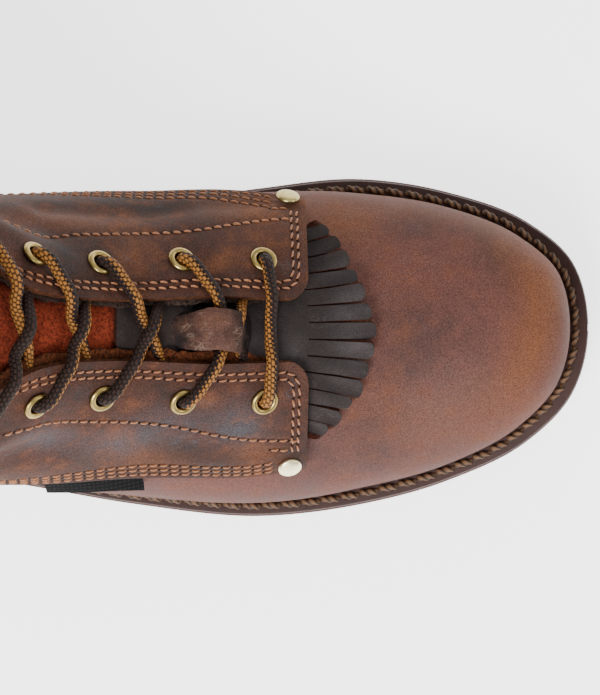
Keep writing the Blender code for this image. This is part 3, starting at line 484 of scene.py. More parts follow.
def half_gap(u):
    return THROAT_CURVE.at(np.clip(rim_of(u) * RIDGE_LENGTH, THROAT[0].along, THROAT[-1].along))[..., 0]


def last_share(u, reached):
    steps = np.linspace(0, 1, RIB_STEPS)
    passed = from_ridge(last_point(u[:, None], steps[None, :])) >= reached[:, None]
    top = RIB_STEPS - 1 - np.argmax(passed[:, ::-1], axis=1)
    high = steps[np.minimum(top + 1, RIB_STEPS - 1)]
    return halved(steps[top], high, lambda v: from_ridge(last_point(u, v)) >= reached, 20)[0]


def opening_top(u, overhang):
    ridge_x = RIDGE_CURVE.at(np.clip(rim_of(u), 0, 1) * RIDGE_LENGTH)[..., 0]
    share = np.clip((ridge_x - OPENING_ROUND_X) / (OPENING_FRONT_X - OPENING_ROUND_X), 0, 1)
    gap = np.minimum(half_gap(u) + overhang, WIDEST_OPENING) * np.sqrt(1 - share**2)
    return np.where(gap > 0, last_share(u, gap), 1.0)


def first_height(u, height):
    reach = np.full_like(u, HIGHEST_SEAM)
    return halved(np.zeros_like(u), reach, lambda v: last_point(u, v)[..., 2] < height, 30)[0]


SAMPLE_U = np.linspace(0, EDGE_LENGTH, EDGE_SAMPLES)
SAMPLE_TOP = last_share(SAMPLE_U, half_gap(SAMPLE_U))
seam_heights = SEAM_CURVE.at(np.clip(-EDGE.at(SAMPLE_U)[:, 0], -SEAM[0].x, -SEAM[-1].x))
SAMPLE_SEAM = first_height(SAMPLE_U, np.where(SAMPLE_U < HEEL_U, seam_heights[:, 0], seam_heights[:, 1]))


def flap_top(u):
    return np.interp(u, SAMPLE_U, SAMPLE_TOP)


def seam_bottom(u):
    return np.interp(u, SAMPLE_U, SAMPLE_SEAM)


print("seam's share of the ribs:", np.round([SAMPLE_SEAM.min(), SAMPLE_SEAM.max()], 2).tolist())

# %% [markdown]
# ## Front and corners of the flaps
#
# The front of a flap is a straight line in plan with a rounded corner at the throat, and its top ends where
# the throat meets the collar. Towards the toe the flap also climbs over the fringed piece that lies under it.


# %% Front edge, collar corner and lift of a flap
FRONT_RIMS = (0.08, 0.42)
CORNER_RIMS = (1.0, 1.4)
OVER_KILTIE_X = (0.008, 0.034)
BESIDE_KILTIE = (0.046, 0.036)


def u_at_rim(rim, side):
    rim = np.asarray(rim, float)
    toe = np.full_like(rim, 0.0 if side > 0 else EDGE_LENGTH - 1e-9)
    low, high = halved(toe, np.full_like(rim, HEEL_U), lambda u: rim_of(u) < rim, 48)
    return (low + high) / 2


def collar_corner(side):
    samples = u_at_rim(np.linspace(*CORNER_RIMS, 400), side)
    reach = from_ridge(last_point(samples, 1.0)) - half_gap(samples)
    return samples[np.argmax(reach > 0)]


def flap_front(side, share_up):
    def ahead(u):
        bottom, top = seam_bottom(u), flap_top(u)
        points = last_point(u, bottom + (top - bottom) * share_up)
        into_corner = FLAP_CORNER_RADIUS - np.clip(from_ridge(points) - half_gap(u), 0, FLAP_CORNER_RADIUS)
        short = FLAP_CORNER_RADIUS - np.sqrt(FLAP_CORNER_RADIUS**2 - into_corner**2)
        return points[..., 0] > FLAP_FRONT_X - short

    low, high = halved(*[np.full_like(share_up, u_at_rim(rim, side)) for rim in FRONT_RIMS], ahead, 40)
    return (low + high) / 2


def flap_lift(points):
    over_kiltie = smooth_step(*OVER_KILTIE_X, points[..., 0])
    over_kiltie = over_kiltie * smooth_step(*BESIDE_KILTIE, from_ridge(points))
    return FLAP_GAP + (KILTIE_WALL + 2 * GAP) * over_kiltie


SIDES = {1: "inner", -1: "outer"}
print("collar corners along the welt in mm:", [round(collar_corner(side) * 1000) for side in SIDES])

# %% [markdown]
# ## Laying pieces on the last
#
# Many pieces are easier to draw from above or as an offset from an edge. A search tree over the whole last
# answers two questions fast: what lies straight below this point, and what is the nearest place on the last.

# %% The last as a search tree
ABOVE_BOOT = 0.4
INSIDE_X = (-0.085, 0.11)
INSIDE_BELOW = 0.03
RIDGE_TO_MIDDLE = 0.040
WELD = 2e-6


def grid_shape(points, closed=False):
    """A create_grid sheet with its own map, its corners moved to the points."""
    rows, columns = points.shape[:2]
    shape = bmesh.new()
    shape.loops.layers.uv.new("laid")
    bmesh.ops.create_grid(shape, x_segments=columns - 1, y_segments=rows - 1, calc_uvs=True)
    for vert, spot in zip(shape.verts, points.reshape(-1, 3)):
        vert.co = spot
    if closed:
        bmesh.ops.remove_doubles(shape, verts=shape.verts, dist=WELD)
    return shape


last_columns = np.linspace(0, EDGE_LENGTH, 541)[None, :]
whole_last = grid_shape(last_point(last_columns, np.linspace(0, 1, 111)[:, None]), True)
SKIN = BVHTree.FromBMesh(whole_last)
print("search tree over", len(whole_last.faces), "faces")
whole_last.free()


def on_last(points):
    """Nearest places on the last and the outward directions there."""
    found = [SKIN.find_nearest(Vector(p)) for p in points]
    spots = np.array([f[0] for f in found])
    normals = np.array([f[1] for f in found])
    middle_x = np.clip(spots[:, 0], *INSIDE_X)
    middle = np.column_stack([middle_x, np.full(len(spots), AXIS_Y), spots[:, 2] - INSIDE_BELOW])
    inward = ((spots - middle) * normals).sum(1) < 0
    return spots, np.where(inward[:, None], -normals, normals)


def laid(x, y, lift):
    hit, normal, _, _ = SKIN.ray_cast(Vector((x, y, ABOVE_BOOT)), Vector((0, 0, -1)))
    return hit + (normal if normal.z > 0 else -normal) * lift


def across_ridge(along, turn, lift):
    step = 1e-3
    x, z = RIDGE_CURVE.at(along)
    ahead_x, ahead_z = RIDGE_CURVE.at(along + step) - RIDGE_CURVE.at(along - step)
    up = Vector((ahead_z, 0, -ahead_x)).normalized()
    inside = Vector((x, AXIS_Y, z)) - up * RIDGE_TO_MIDDLE
    ray = up * math.cos(turn) + Vector((0, 1, 0)) * math.sin(turn)
    hit, normal, _, _ = SKIN.ray_cast(inside, ray)
    return hit + (normal if normal.dot(ray) > 0 else -normal) * lift


def frame_at(point, normal, along):
    z = Vector(normal).normalized()
    y = z.cross(Vector(along)).normalized()
    x = y.cross(z)
    return Matrix.Translation(Vector(point)) @ Matrix((x, y, z)).transposed().to_4x4()

# %% [markdown]
# ## Making a piece
#
# Every new piece is a mesh that rides on the boot's one body, takes its finishes as a list of materials and
# stands in for the solids it is given, which are hidden. Sheets get their wall from a Solidify modifier, with
# one material for the face, one for the back and one for the cut edge, and a small Bevel breaks the sharp
# edge.

# %% Piece and wall helpers
SHARP_CORNER = math.radians(50)


def piece(name, shape, finishes, nodes=()):
    mesh = bpy.data.meshes.new(name)
    shape.to_mesh(mesh)
    shape.free()
    mesh.shade_smooth()
    for finish in finishes:
        mesh.materials.append(finish)
    made = bpy.data.objects.new(name, mesh)
    bpy.context.scene.collection.objects.link(made)
    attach(made, "root")
    if nodes:
        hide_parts(*nodes)
    print(name, "has", len(mesh.polygons), "faces")
    return made


def wall(made, thickness, back=0, edge=0, rounding=0.0):
    thick = made.modifiers.new("wall", "SOLIDIFY")
    thick.thickness = thickness
    thick.offset = -1.0
    thick.use_quality_normals = True
    thick.material_offset = back
    thick.material_offset_rim = edge
    if rounding:
        soft = made.modifiers.new("soft_edge", "BEVEL")
        soft.width = rounding
        soft.segments = 3
        soft.limit_method = "ANGLE"
        soft.angle_limit = SHARP_CORNER
        soft.use_clamp_overlap = True
    return made


def paint(made, name, values):
    layer = made.data.attributes.new(name, "FLOAT", "POINT")
    layer.data.foreach_set("value", np.asarray(values, np.float32))


def corner_points(made):
    flat = np.zeros(len(made.data.vertices) * 3)
    made.data.vertices.foreach_get("co", flat)
    return flat.reshape(-1, 3)

# %% [markdown]
# ## Oiled leather
#
# The vamp and flaps are oiled pull-up leather: a waxed and oiled hide whose colour moves when it is bent or
# rubbed, so it is never even. Large soft patches go from charcoal through red-brown to orange tan, a fine
# sanded nap covers everything, and light scratches show where the wax has been pushed aside. Patches that
# matter are painted onto the mesh; noise breaks them up and adds the rest. Real nap is finer than a tenth of
# a millimetre; it is drawn at 0.45 mm so that it shows in the render.


# %% Pull-up leather finish
PAINTED_LAYERS = ("dark", "tan", "grey")
SCRATCH_TURNS = ((0.3, 0.2, 0.5), (0.1, -0.3, -0.8), (-0.2, 0.4, 1.5))
SCRATCHES_PER_METRE = (45, 380, 380)


def scratch_lines(add, place):
    """Thin lines in three directions, where stretched noise passes its middle value."""
    lines = None
    for turn in SCRATCH_TURNS:
        stretched = add("Mapping", {"Vector": place, "Rotation": turn, "Scale": SCRATCHES_PER_METRE})
        strokes = add("TexNoise", {"Vector": stretched, "Scale": 1.0, "Detail": 0.0})
        off_middle = add("Math", {0: strokes, 1: 0.5}, operation="SUBTRACT")
        size = add("Math", {0: off_middle}, operation="ABSOLUTE")
        line = add("MapRange", {"Value": size, 1: 0.0, 2: 0.030, 3: 1.0, 4: 0.0})
        if lines is not None:
            line = add("Math", {0: lines, 1: line}, operation="MAXIMUM")
        lines = line
    return lines


def pull_up_leather(name, body, dark, tan, grey, patch, scratches, grain):
    made, add, shader, place = new_finish(name)
    clouds, mottle, nap = (
        add("TexNoise", {"Vector": place, "Scale": per_mm(size), "Detail": detail, "Roughness": rough})
        for size, detail, rough in ((34, 4.0, 0.55), (6, 6.0, 0.62), (0.45, 2.0, 0.9)))
    # Besides the leather's own patches, the dark layer carries painted shade and the grey layer a painted
    # sheen, where the tables of patches put them.
    by_hand = {word: add("Attribute", attribute_name=word).outputs["Fac"] for word in PAINTED_LAYERS}

    broken = add("Math", {0: mottle, 1: clouds}, operation="ADD")
    dark_noise = add("MapRange", {"Value": broken, 1: 0.95, 2: 1.25, 3: 0.0, 4: 0.75 * patch})
    dark_here = add("Math", {0: dark_noise, 1: by_hand["dark"]}, operation="ADD", use_clamp=True)
    base = add("Mix", {0: dark_here, 6: colour(body), 7: colour(dark)}, data_type="RGBA")
    tan_noise = add("MapRange", {"Value": broken, 1: 0.95, 2: 0.72, 3: 0.0, 4: 0.6 * patch})
    tan_wide = add("Math", {0: mottle, 1: by_hand["tan"]}, operation="MULTIPLY")
    tan_more = add("Math", {0: tan_wide, 1: 1.8, 2: tan_noise}, operation="MULTIPLY_ADD", use_clamp=True)
    warmed = add("Mix", {0: tan_more, 6: base, 7: colour(tan)}, data_type="RGBA")
    grey_wide = add("Math", {0: mottle, 1: by_hand["grey"]}, operation="MULTIPLY")
    grey_more = add("Math", {0: grey_wide, 1: 1.8}, operation="MULTIPLY", use_clamp=True)
    rubbed_and_sheen = add("Mix", {0: grey_more, 6: warmed, 7: colour(grey)}, data_type="RGBA")

    sparse = add("TexNoise", {"Vector": place, "Scale": per_mm(11), "Detail": 3.0})
    where = add("MapRange", {"Value": sparse, 1: 0.52, 2: 0.72, 3: 0.0, 4: scratches})
    marks = add("Math", {0: scratch_lines(add, place), 1: where}, operation="MULTIPLY")
    marked = add("Mix", {0: marks, 6: rubbed_and_sheen, 7: colour(grey)}, data_type="RGBA")

    speckle = add("MapRange", {"Value": nap, 1: 0.35, 2: 0.65, 3: 1 - grain, 4: 1 + grain})
    toned = add("HueSaturation", {"Value": speckle, "Color": marked})
    gloss = add("MapRange", {"Value": broken, 1: 0.7, 2: 1.3, 3: 0.78, 4: 0.60})
    relief = add("Math", {0: mottle, 1: 1.6, 2: nap}, operation="MULTIPLY_ADD")
    bump = add("Bump", {"Height": relief, "Strength": 0.6, "Distance": 0.0002})
    fill_sockets(shader, {"Base Color": toned, "Roughness": gloss, "Normal": bump, "IOR": 1.47,
                                "Specular IOR Level": 0.08})
    return made


VAMP_LEATHER = pull_up_leather("oiled_leather_vamp", "#5E3D36", "#44322F", "#6B432E", "#705C56",
                               patch=0.65, scratches=0.18, grain=0.42)
FLAP_LEATHER = pull_up_leather("oiled_leather_flaps", "#462E26", "#2C2523", "#6A422C", "#4B4C52",
                               patch=1.0, scratches=0.40, grain=0.44)
print("leathers:", VAMP_LEATHER.name, FLAP_LEATHER.name)

# %% [markdown]
# ## Raw edges and lining
#
# Where leather is cut, its fibres show: a rougher, redder brown without the wax. The inside of the boot has
# a plain soft lining of the same family. Both are matt, with a strong fine bump for the loose fibres.


# %% Raw edge and lining finishes
def fibrous(name, low, high, size, depth):
    made, add, shader, place = new_finish(name)
    fibres = add("TexNoise",
                      {"Vector": place, "Scale": per_mm(size), "Detail": 5.0, "Roughness": 0.7})
    spread = add("MapRange", {"Value": fibres, 1: 0.36, 2: 0.64})
    tint = add("Mix", {0: spread, 6: colour(low), 7: colour(high)}, data_type="RGBA")
    bump = add("Bump", {"Height": fibres, "Strength": 0.9, "Distance": depth})
    fill_sockets(shader, {"Base Color": tint, "Normal": bump, "Roughness": 0.92,
                                "Specular IOR Level": 0.1, "Sheen Weight": 0.05,
                                "Sheen Tint": colour("#C08A68")})
    return made


RAW_EDGE = fibrous("raw_leather_edge", "#1A0E0A", "#5A3522", 1.1, 0.0006)
LINING = fibrous("brown_lining", "#33221A", "#4E372A", 1.6, 0.0002)
THROAT_LINING = {1: fibrous("grey_brown_raw_edge", "#140E0B", "#463630", 0.9, 0.0006),
                 -1: fibrous("rust_lining_edge", "#120805", "#5C301A", 0.9, 0.0006)}
print("fibrous finishes:", RAW_EDGE.name, LINING.name, [finish.name for finish in THROAT_LINING.values()])

# %% [markdown]
# ## Patches placed one by one
#
# The photo shows an orange glow round the toe, mauve and charcoal clouds on the vamp and blue-grey patches on
# the outer flap. Each is a soft oval in plan: where its middle is, its half sizes, its turn and its strength.
# Four ovals paint light rather than the leather's colour. Three dark ones are painted shade: the fringe's
# shadow on the vamp, and the vamp's inner rim and a band on the inner flap, which both face away from the
# main light. A grey one is a painted reflection on the lower vamp.

# %% Table of patches
Patch = namedtuple("Patch", "layer x y long wide turn strength")
PATCHES = [
    Patch("tan", 0.1365, 0.0120, 0.020, 0.0075, 76, 0.75),
    Patch("tan", 0.1290, 0.0290, 0.018, 0.0070, 124, 0.70),
    Patch("tan", 0.1300, -0.0080, 0.016, 0.0070, 62, 0.55),
    Patch("tan", 0.1140, -0.0200, 0.016, 0.0080, 40, 0.35),
    Patch("tan", 0.0700, 0.0390, 0.014, 0.0090, 10, 0.60),
    Patch("tan", 0.0820, -0.0180, 0.020, 0.0080, 150, 0.25),
    Patch("dark", 0.0960, 0.0390, 0.010, 0.0050, 0, 0.55),
    # Painted shade along the vamp's inner rim, which faces away from the main light.
    Patch("dark", 0.1000, 0.0450, 0.030, 0.0055, 174, 0.50),
    Patch("tan", 0.0940, 0.0450, 0.034, 0.0055, 176, 0.35),
    Patch("dark", 0.1230, 0.0310, 0.012, 0.0060, 120, 0.80),
    # Painted shadow of the fringe's tips on the vamp.
    Patch("dark", 0.0930, 0.0100, 0.013, 0.0080, 160, 0.55),
    Patch("dark", 0.0930, -0.0040, 0.016, 0.0090, 20, 0.62),
    Patch("dark", 0.1370, 0.0050, 0.004, 0.0030, 30, 0.35),
    Patch("dark", 0.0840, -0.0350, 0.010, 0.0050, 20, 0.45),
    Patch("dark", 0.0740, -0.0300, 0.018, 0.0090, 20, 0.40),
    Patch("dark", 0.0690, 0.0420, 0.014, 0.0090, 0, 0.65),
    Patch("dark", 0.0150, -0.0340, 0.034, 0.0060, 0, 0.40),
    Patch("dark", 0.0420, -0.0250, 0.008, 0.0060, 0, 0.35),
    # Painted reflection: a grey sheen on the lower vamp.
    Patch("grey", 0.1050, -0.0180, 0.020, 0.0120, 30, 0.20),
    Patch("dark", 0.1450, 0.0090, 0.024, 0.0035, 88, 0.35),
    Patch("dark", 0.1080, -0.0345, 0.024, 0.0050, 10, 0.35),
    Patch("dark", 0.0830, -0.0220, 0.010, 0.0080, 20, 0.40),
    Patch("dark", 0.1065, -0.0185, 0.012, 0.0080, 20, 0.20),
    Patch("grey", 0.0400, -0.0240, 0.008, 0.0060, 0, 0.55),
    Patch("grey", 0.0040, -0.0290, 0.012, 0.0050, 10, 0.45),
    Patch("grey", -0.0180, -0.0280, 0.008, 0.0040, 0, 0.40),
    Patch("grey", 0.0200, -0.0230, 0.010, 0.0050, 170, 0.30),
    Patch("tan", 0.0300, -0.0160, 0.004, 0.0025, 0, 0.70),
    Patch("tan", 0.0450, -0.0330, 0.008, 0.0035, 0, 0.55),
    Patch("tan", 0.0100, -0.0340, 0.012, 0.0040, 170, 0.45),
    Patch("tan", 0.0330, 0.0255, 0.005, 0.0025, 20, 0.80),
    Patch("tan", 0.0080, 0.0280, 0.006, 0.0040, 120, 0.50),
    Patch("tan", 0.0400, 0.0430, 0.014, 0.0040, 175, 0.50),
    Patch("tan", -0.0120, 0.0390, 0.016, 0.0030, 175, 0.55),
    # Painted shade on the inner flap's band between its seam rows and its panel row, which faces away from
    # the main light.
    Patch("dark", 0.0050, 0.0450, 0.034, 0.0045, 0, 0.55),
    Patch("dark", 0.0140, 0.0330, 0.016, 0.0070, 0, 0.20),
    Patch("dark", -0.0050, 0.0310, 0.012, 0.0060, 20, 0.30),
]


def patch_strength(patches, layer, points):
    total = np.zeros(len(points))
    for spot in (p for p in patches if p.layer == layer):
        turn = math.radians(spot.turn)
        x, y = points[:, 0] - spot.x, points[:, 1] - spot.y
        along = (x * math.cos(turn) + y * math.sin(turn)) / spot.long
        across = (y * math.cos(turn) - x * math.sin(turn)) / spot.wide
        total += spot.strength * np.exp(-(along**2 + across**2))
    return np.clip(total, 0, 1)


def paint_patches(made, patches=PATCHES):
    points = corner_points(made)
    for layer in PAINTED_LAYERS:
        paint(made, layer, patch_strength(patches, layer, points))

# %% [markdown]
# ## Soft creases
#
# Leather that has been pulled over a last and worn a little is never quite even. The main troughs and swells
# are short lines, drawn from above or from one side, with a depth and a width; every leather piece that lies
# near a line is pushed in or out along it, so the upper and the flap over it move together.

# %% Table of creases
Crease = namedtuple("Crease", "seen_from line depth width")
CREASES = [
    Crease("above", [(0.052, 0.0425), (0.030, 0.0410), (0.005, 0.0395), (-0.020, 0.0400)], -0.0014, 0.0050),
    Crease("above", [(0.050, -0.0290), (0.020, -0.0285), (-0.010, -0.0275)], -0.0007, 0.0060),
    Crease("above", [(0.096, 0.018), (0.090, 0.000), (0.094, -0.016)], -0.0007, 0.0090),
    Crease("above", [(0.078, 0.044), (0.070, 0.036)], -0.0006, 0.0060),
    Crease("above", [(0.076, -0.040), (0.068, -0.032)], -0.0006, 0.0060),
    Crease("inner", [(-0.020, 0.104), (-0.050, 0.112), (-0.078, 0.108)], -0.0022, 0.0080),
    Crease("inner", [(-0.026, 0.128), (-0.060, 0.134), (-0.090, 0.128)], -0.0016, 0.0090),
    Crease("inner", [(-0.026, 0.118), (-0.056, 0.123), (-0.084, 0.118)], 0.0010, 0.0060),
    Crease("outer", [(-0.018, 0.100), (-0.046, 0.109), (-0.076, 0.106)], -0.0022, 0.0080),
    Crease("outer", [(-0.028, 0.126), (-0.058, 0.133), (-0.092, 0.129)], -0.0016, 0.0090),
    Crease("outer", [(-0.024, 0.115), (-0.054, 0.121), (-0.082, 0.117)], 0.0010, 0.0060),
    Crease("outer", [(0.022, 0.034), (0.006, 0.038), (-0.010, 0.035)], -0.0010, 0.0035),
]

# %% [markdown]
# ## How deep a crease is
#
# A crease drawn from above or from a side is thrown onto the last, as a pencil line would be. Any point of
# the leather then moves by a smooth bell of its distance from that line, so that no crease has a hard edge.


# %% Depth of the creases
CREASE_STOPS = 40
BESIDE_BOOT = 0.3


def crease_line(crease):
    drawn = np.array(crease.line)
    along = chord_lengths(drawn)
    fine = SmoothTable(along, drawn).at(np.linspace(0, along[-1], CREASE_STOPS))
    if crease.seen_from == "above":
        return np.array([laid(x, y, 0.0) for x, y in fine])
    side = next(turn for turn, word in SIDES.items() if word == crease.seen_from)
    starts = [Vector((x, side * BESIDE_BOOT, z)) for x, z in fine]
    return np.array([SKIN.ray_cast(start, Vector((0, -side, 0)))[0] for start in starts])


CREASE_LINES = [crease_line(crease) for crease in CREASES]
print("creases:", len(CREASE_LINES))


def creased(points):
    flat = points.reshape(-1, 3)
    depth = np.zeros(len(flat))
    for crease, line in zip(CREASES, CREASE_LINES):
        distance = np.min([np.linalg.norm(flat - spot, axis=1) for spot in line], axis=0)
        depth += crease.depth * np.exp(-(distance / crease.width) ** 2)
    return depth.reshape(points.shape[:-1])

# %% [markdown]
# ## The upper
#
# The vamp and the inner shaft are one hollow wall that is open at the throat. It is a grid laid on the last,
# with its ribs matched in pairs over the toe so that both halves meet on the ridge and can be welded. Under
# the flaps its edge is set back behind the eyelets, so that the lace has room to run there. The toe box is
# puffed out a little over the welt, as damp leather springs off the last.

# %% Hollow upper
UPPER_SETBACK = 0.0165
TOE_PUFF = 0.0013
PUFF_FROM, PUFF_TO = (0.0, 0.10), (0.75, 0.35)
PUFF_X = (0.030, 0.075)
RIDGE_SAMPLES = 2000

ridge_x = RIDGE_CURVE.at(np.linspace(0, RIDGE_LENGTH, RIDGE_SAMPLES))[:, 0]
open_rim = np.interp(-OPENING_FRONT_X, -ridge_x, np.linspace(0, 1, RIDGE_SAMPLES))
vamp_inner = np.linspace(0, u_at_rim(open_rim, 1), 81)[1:]
vamp_outer = u_at_rim(rim_of(vamp_inner), -1)
spread = np.concatenate([np.linspace(0, 0.07, 16)[1:], np.linspace(0.07, 1, 70)[1:]])
inner_u = np.concatenate([vamp_inner, vamp_inner[-1] + (collar_corner(1) - vamp_inner[-1]) * spread])
outer_u = np.concatenate([vamp_outer, vamp_outer[-1] + (collar_corner(-1) - vamp_outer[-1]) * spread])
to_heel = np.linspace(inner_u[-1], HEEL_U, 34)[1:]
from_heel = np.linspace(HEEL_U, outer_u[-1], 34)[1:-1]
upper_u = np.concatenate([[0], inner_u, to_heel, from_heel, outer_u[::-1], [EDGE_LENGTH]])
upper_v = np.linspace(0, 1, 72)[:, None] * opening_top(upper_u, UPPER_SETBACK)[None, :]
upper_base = last_point(upper_u[None, :], upper_v)
toe_puff = TOE_PUFF * smooth_step(*PUFF_FROM, upper_v) * smooth_step(*PUFF_TO, upper_v)
toe_puff = toe_puff * smooth_step(*PUFF_X, upper_base[..., 0])
upper_points = lifted(upper_u[None, :], upper_v, creased(upper_base) + toe_puff)
upper = piece("boot_upper", grid_shape(upper_points, True), [VAMP_LEATHER, LINING, RAW_EDGE],
              ["upper"])
paint_patches(upper)
wall(upper, UPPER_WALL, back=1, edge=2, rounding=0.0004)

# %% [markdown]
# ## Seam lines on the flaps
#
# Stitch rows run at a fixed distance from the edge they hold. The edge of a flap is one line that goes up its
# front, round the corner and along the throat to the collar; a row is that line moved inwards over the last.

# %% Edge lines and rows beside them
ROW_STEP = 0.0006
SMOOTHED_OVER = 5
EDGE_FROM_SHARE = 0.02
COLLAR_ROW_SHORT = 0.004
SEAM_ROW_SHORT = 0.009


def flap_edge(side):
    share = np.linspace(EDGE_FROM_SHARE, 1, 160)
    front_u = flap_front(side, share)
    front_v = seam_bottom(front_u) + (flap_top(front_u) - seam_bottom(front_u)) * share
    throat_u = np.linspace(front_u[-1], collar_corner(side), 700)[1:]
    collar_u = np.linspace(throat_u[-1], HEEL_U - side * COLLAR_ROW_SHORT, 160)[1:]
    u = np.concatenate([front_u, throat_u, collar_u])
    v = np.concatenate([front_v, flap_top(throat_u), np.ones_like(collar_u)])
    return last_point(u, v), last_normal(u, v)


def seam_edge(side):
    front = flap_front(side, np.array([0.0]))[0]
    u = np.linspace(front, HEEL_U - side * SEAM_ROW_SHORT, 500)
    v = seam_bottom(u)
    return last_point(u, v), last_normal(u, v)


def even_points(points, pitch):
    along = chord_lengths(points)
    count = max(int(round(along[-1] / pitch)), 2)
    wanted = np.linspace(0, along[-1], count + 1)
    return np.column_stack([np.interp(wanted, along, points[:, k]) for k in range(3)])


def inward_from(edge, normals, side):
    inward = np.cross(np.gradient(edge, axis=0), normals) * side
    return inward / np.linalg.norm(inward, axis=1, keepdims=True)


def row_beside(edge, normals, side, distance):
    row = even_points(on_last(edge + inward_from(edge, normals, side) * distance)[0], ROW_STEP)
    smooth = np.ones(SMOOTHED_OVER) / SMOOTHED_OVER
    inner = np.column_stack([np.convolve(row[:, k], smooth, "valid") for k in range(3)])
    kept = SMOOTHED_OVER // 2
    return np.vstack([row[:kept], inner, row[-kept:]])


print("flap edges in mm:", [round(chord_lengths(flap_edge(side)[0])[-1] * 1000) for side in SIDES])

# %% [markdown]
# ## Rows of stitches
#
# Each flap has two rows round its front and throat, three rows along its lower seam, one row that wanders
# through the panel and a short return beside the rivet. The wandering row and the return are drawn in plan
# and laid on the last from above.

# %% Table of stitch rows
STITCH_PITCH = 0.0034
EDGE_ROW_DISTANCES = (0.0030, 0.0049)
SEAM_ROW_DISTANCES = {1: (0.0026, 0.0060, 0.0094), -1: (0.0022, 0.0047, 0.0072)}
ROW_FROM_BOTTOM = 0.0085
RIVET_CLEAR = 0.0105
PANEL_ROWS = {
    1: [(0.0559, 0.0411), (0.0480, 0.0403), (0.0374, 0.0386), (0.0267, 0.0366), (0.0069, 0.0352),
        (-0.0090, 0.0348), (-0.0203, 0.0355), (-0.0301, 0.0402)],
    -1: [(0.0588, -0.0299), (0.0415, -0.0292), (0.0311, -0.0272), (0.0216, -0.0249), (0.0069, -0.0231),
         (-0.0066, -0.0228), (-0.0195, -0.0232), (-0.0290, -0.0263)],
}
RETURN_ROWS = {1: [(0.0552, 0.0451), (0.0500, 0.0450)], -1: [(0.0556, -0.0331), (0.0500, -0.0330)]}


def under_flap_spot(x, y):
    """Place on the last below a spot that shows at x, y on the flap's outer face."""
    wanted = np.array([x, y])
    guess = wanted.copy()
    for _ in range(8):
        base = laid(*guess, 0.0)
        shown = laid(*guess, float(flap_lift(np.array(base))) + FLAP_WALL)
        guess += wanted - np.array(shown[:2])
    return laid(*guess, 0.0)


def laid_row(plan):
    plan = np.array(plan)
    curve = SmoothTable(chord_lengths(plan), plan)
    fine = curve.at(np.linspace(0, curve.knots[-1], 120))
    return np.array([under_flap_spot(x, y) for x, y in fine])


def stitch_rows(side):
    edge, seam = flap_edge(side), seam_edge(side)
    rows = [row_beside(*edge, side, distance)[int(ROW_FROM_BOTTOM / ROW_STEP):]
            for distance in EDGE_ROW_DISTANCES]
    rows += [row_beside(*seam, -side, distance)[int(RIVET_CLEAR / ROW_STEP):]
             for distance in SEAM_ROW_DISTANCES[side]]
    return rows + [laid_row(PANEL_ROWS[side]), laid_row(RETURN_ROWS[side])]


ROWS = {side: stitch_rows(side) for side in SIDES}
print("stitch rows in mm:", [[round(chord_lengths(r)[-1] * 1000) for r in ROWS[side]] for side in SIDES])

# %% [markdown]
# ## Places of the eyelets
#
# Eight eyelets stand at an even pitch along each throat edge, a fixed way in from it. Each place is kept as a
# matrix, with its Z axis straight out of the leather, so that a hole, an eyelet and the lace all share it.


# %% Eyelet places
TANGENT_STEPS = 6


def throat_edge(side):
    front = flap_front(side, np.array([1.0]))[0]
    u = np.linspace(front, collar_corner(side), 900)
    v = flap_top(u)
    return u, v, chord_lengths(last_point(u, v))


def eyelet_places(side):
    u, v, along = throat_edge(side)
    edge, out = last_point(u, v), last_normal(u, v)
    pitch = (along[-1] - EYELET_FIRST - EYELET_LAST) / (EYELET_COUNT - 1)
    places = []
    for index in range(EYELET_COUNT):
        i = np.searchsorted(along, EYELET_FIRST + index * pitch)
        step = edge[min(i + TANGENT_STEPS, len(edge) - 1)] - edge[i - TANGENT_STEPS]
        away = np.cross(step, out[i]) * side
        away /= np.linalg.norm(away)
        near, normal, _, _ = SKIN.find_nearest(Vector(edge[i] + away * EYELET_FROM_EDGE))
        if normal.dot(Vector(out[i])) < 0:
            normal = -normal
        lift = float(flap_lift(np.array(near))) + FLAP_WALL
        places.append(frame_at(near + normal * lift, normal, step * -1))
    return places


EYELETS = {side: eyelet_places(side) for side in SIDES}
print("top eyelets' height in mm:", [round(EYELETS[side][-1].translation.z * 1000) for side in SIDES])

# %% [markdown]
# ## The lace flaps
#
# Each flap is a thick piece of leather laid over the upper, with its side of the shaft. Pulled thread sinks
# into soft leather, so the grid is pressed down a little along every row, and its columns and rows are closer
# together near the edges, where most rows run. Once a flap has its wall, a Boolean cuts its eyelet holes.


# %% Flaps pressed down along their rows
FLAP_ROWS, FLAP_COLUMNS, FLAP_BACK_COLUMNS = 104, 190, 46
ROW_CROWDING = 0.72
COLUMN_CROWDING = 1.25
FLAP_FROM_HEEL = 0.0006
STITCH_SINK = 0.00035
SINK_WIDTH = 0.0012
HOLE_CLEAR = 0.0007
HOLE_DEPTH = 0.014


def nearest_distance(points, lines):
    spots = np.vstack(lines)
    tree = KDTree(len(spots))
    for index, spot in enumerate(spots):
        tree.insert(spot, index)
    tree.balance()
    return np.array([tree.find(p)[2] for p in points])


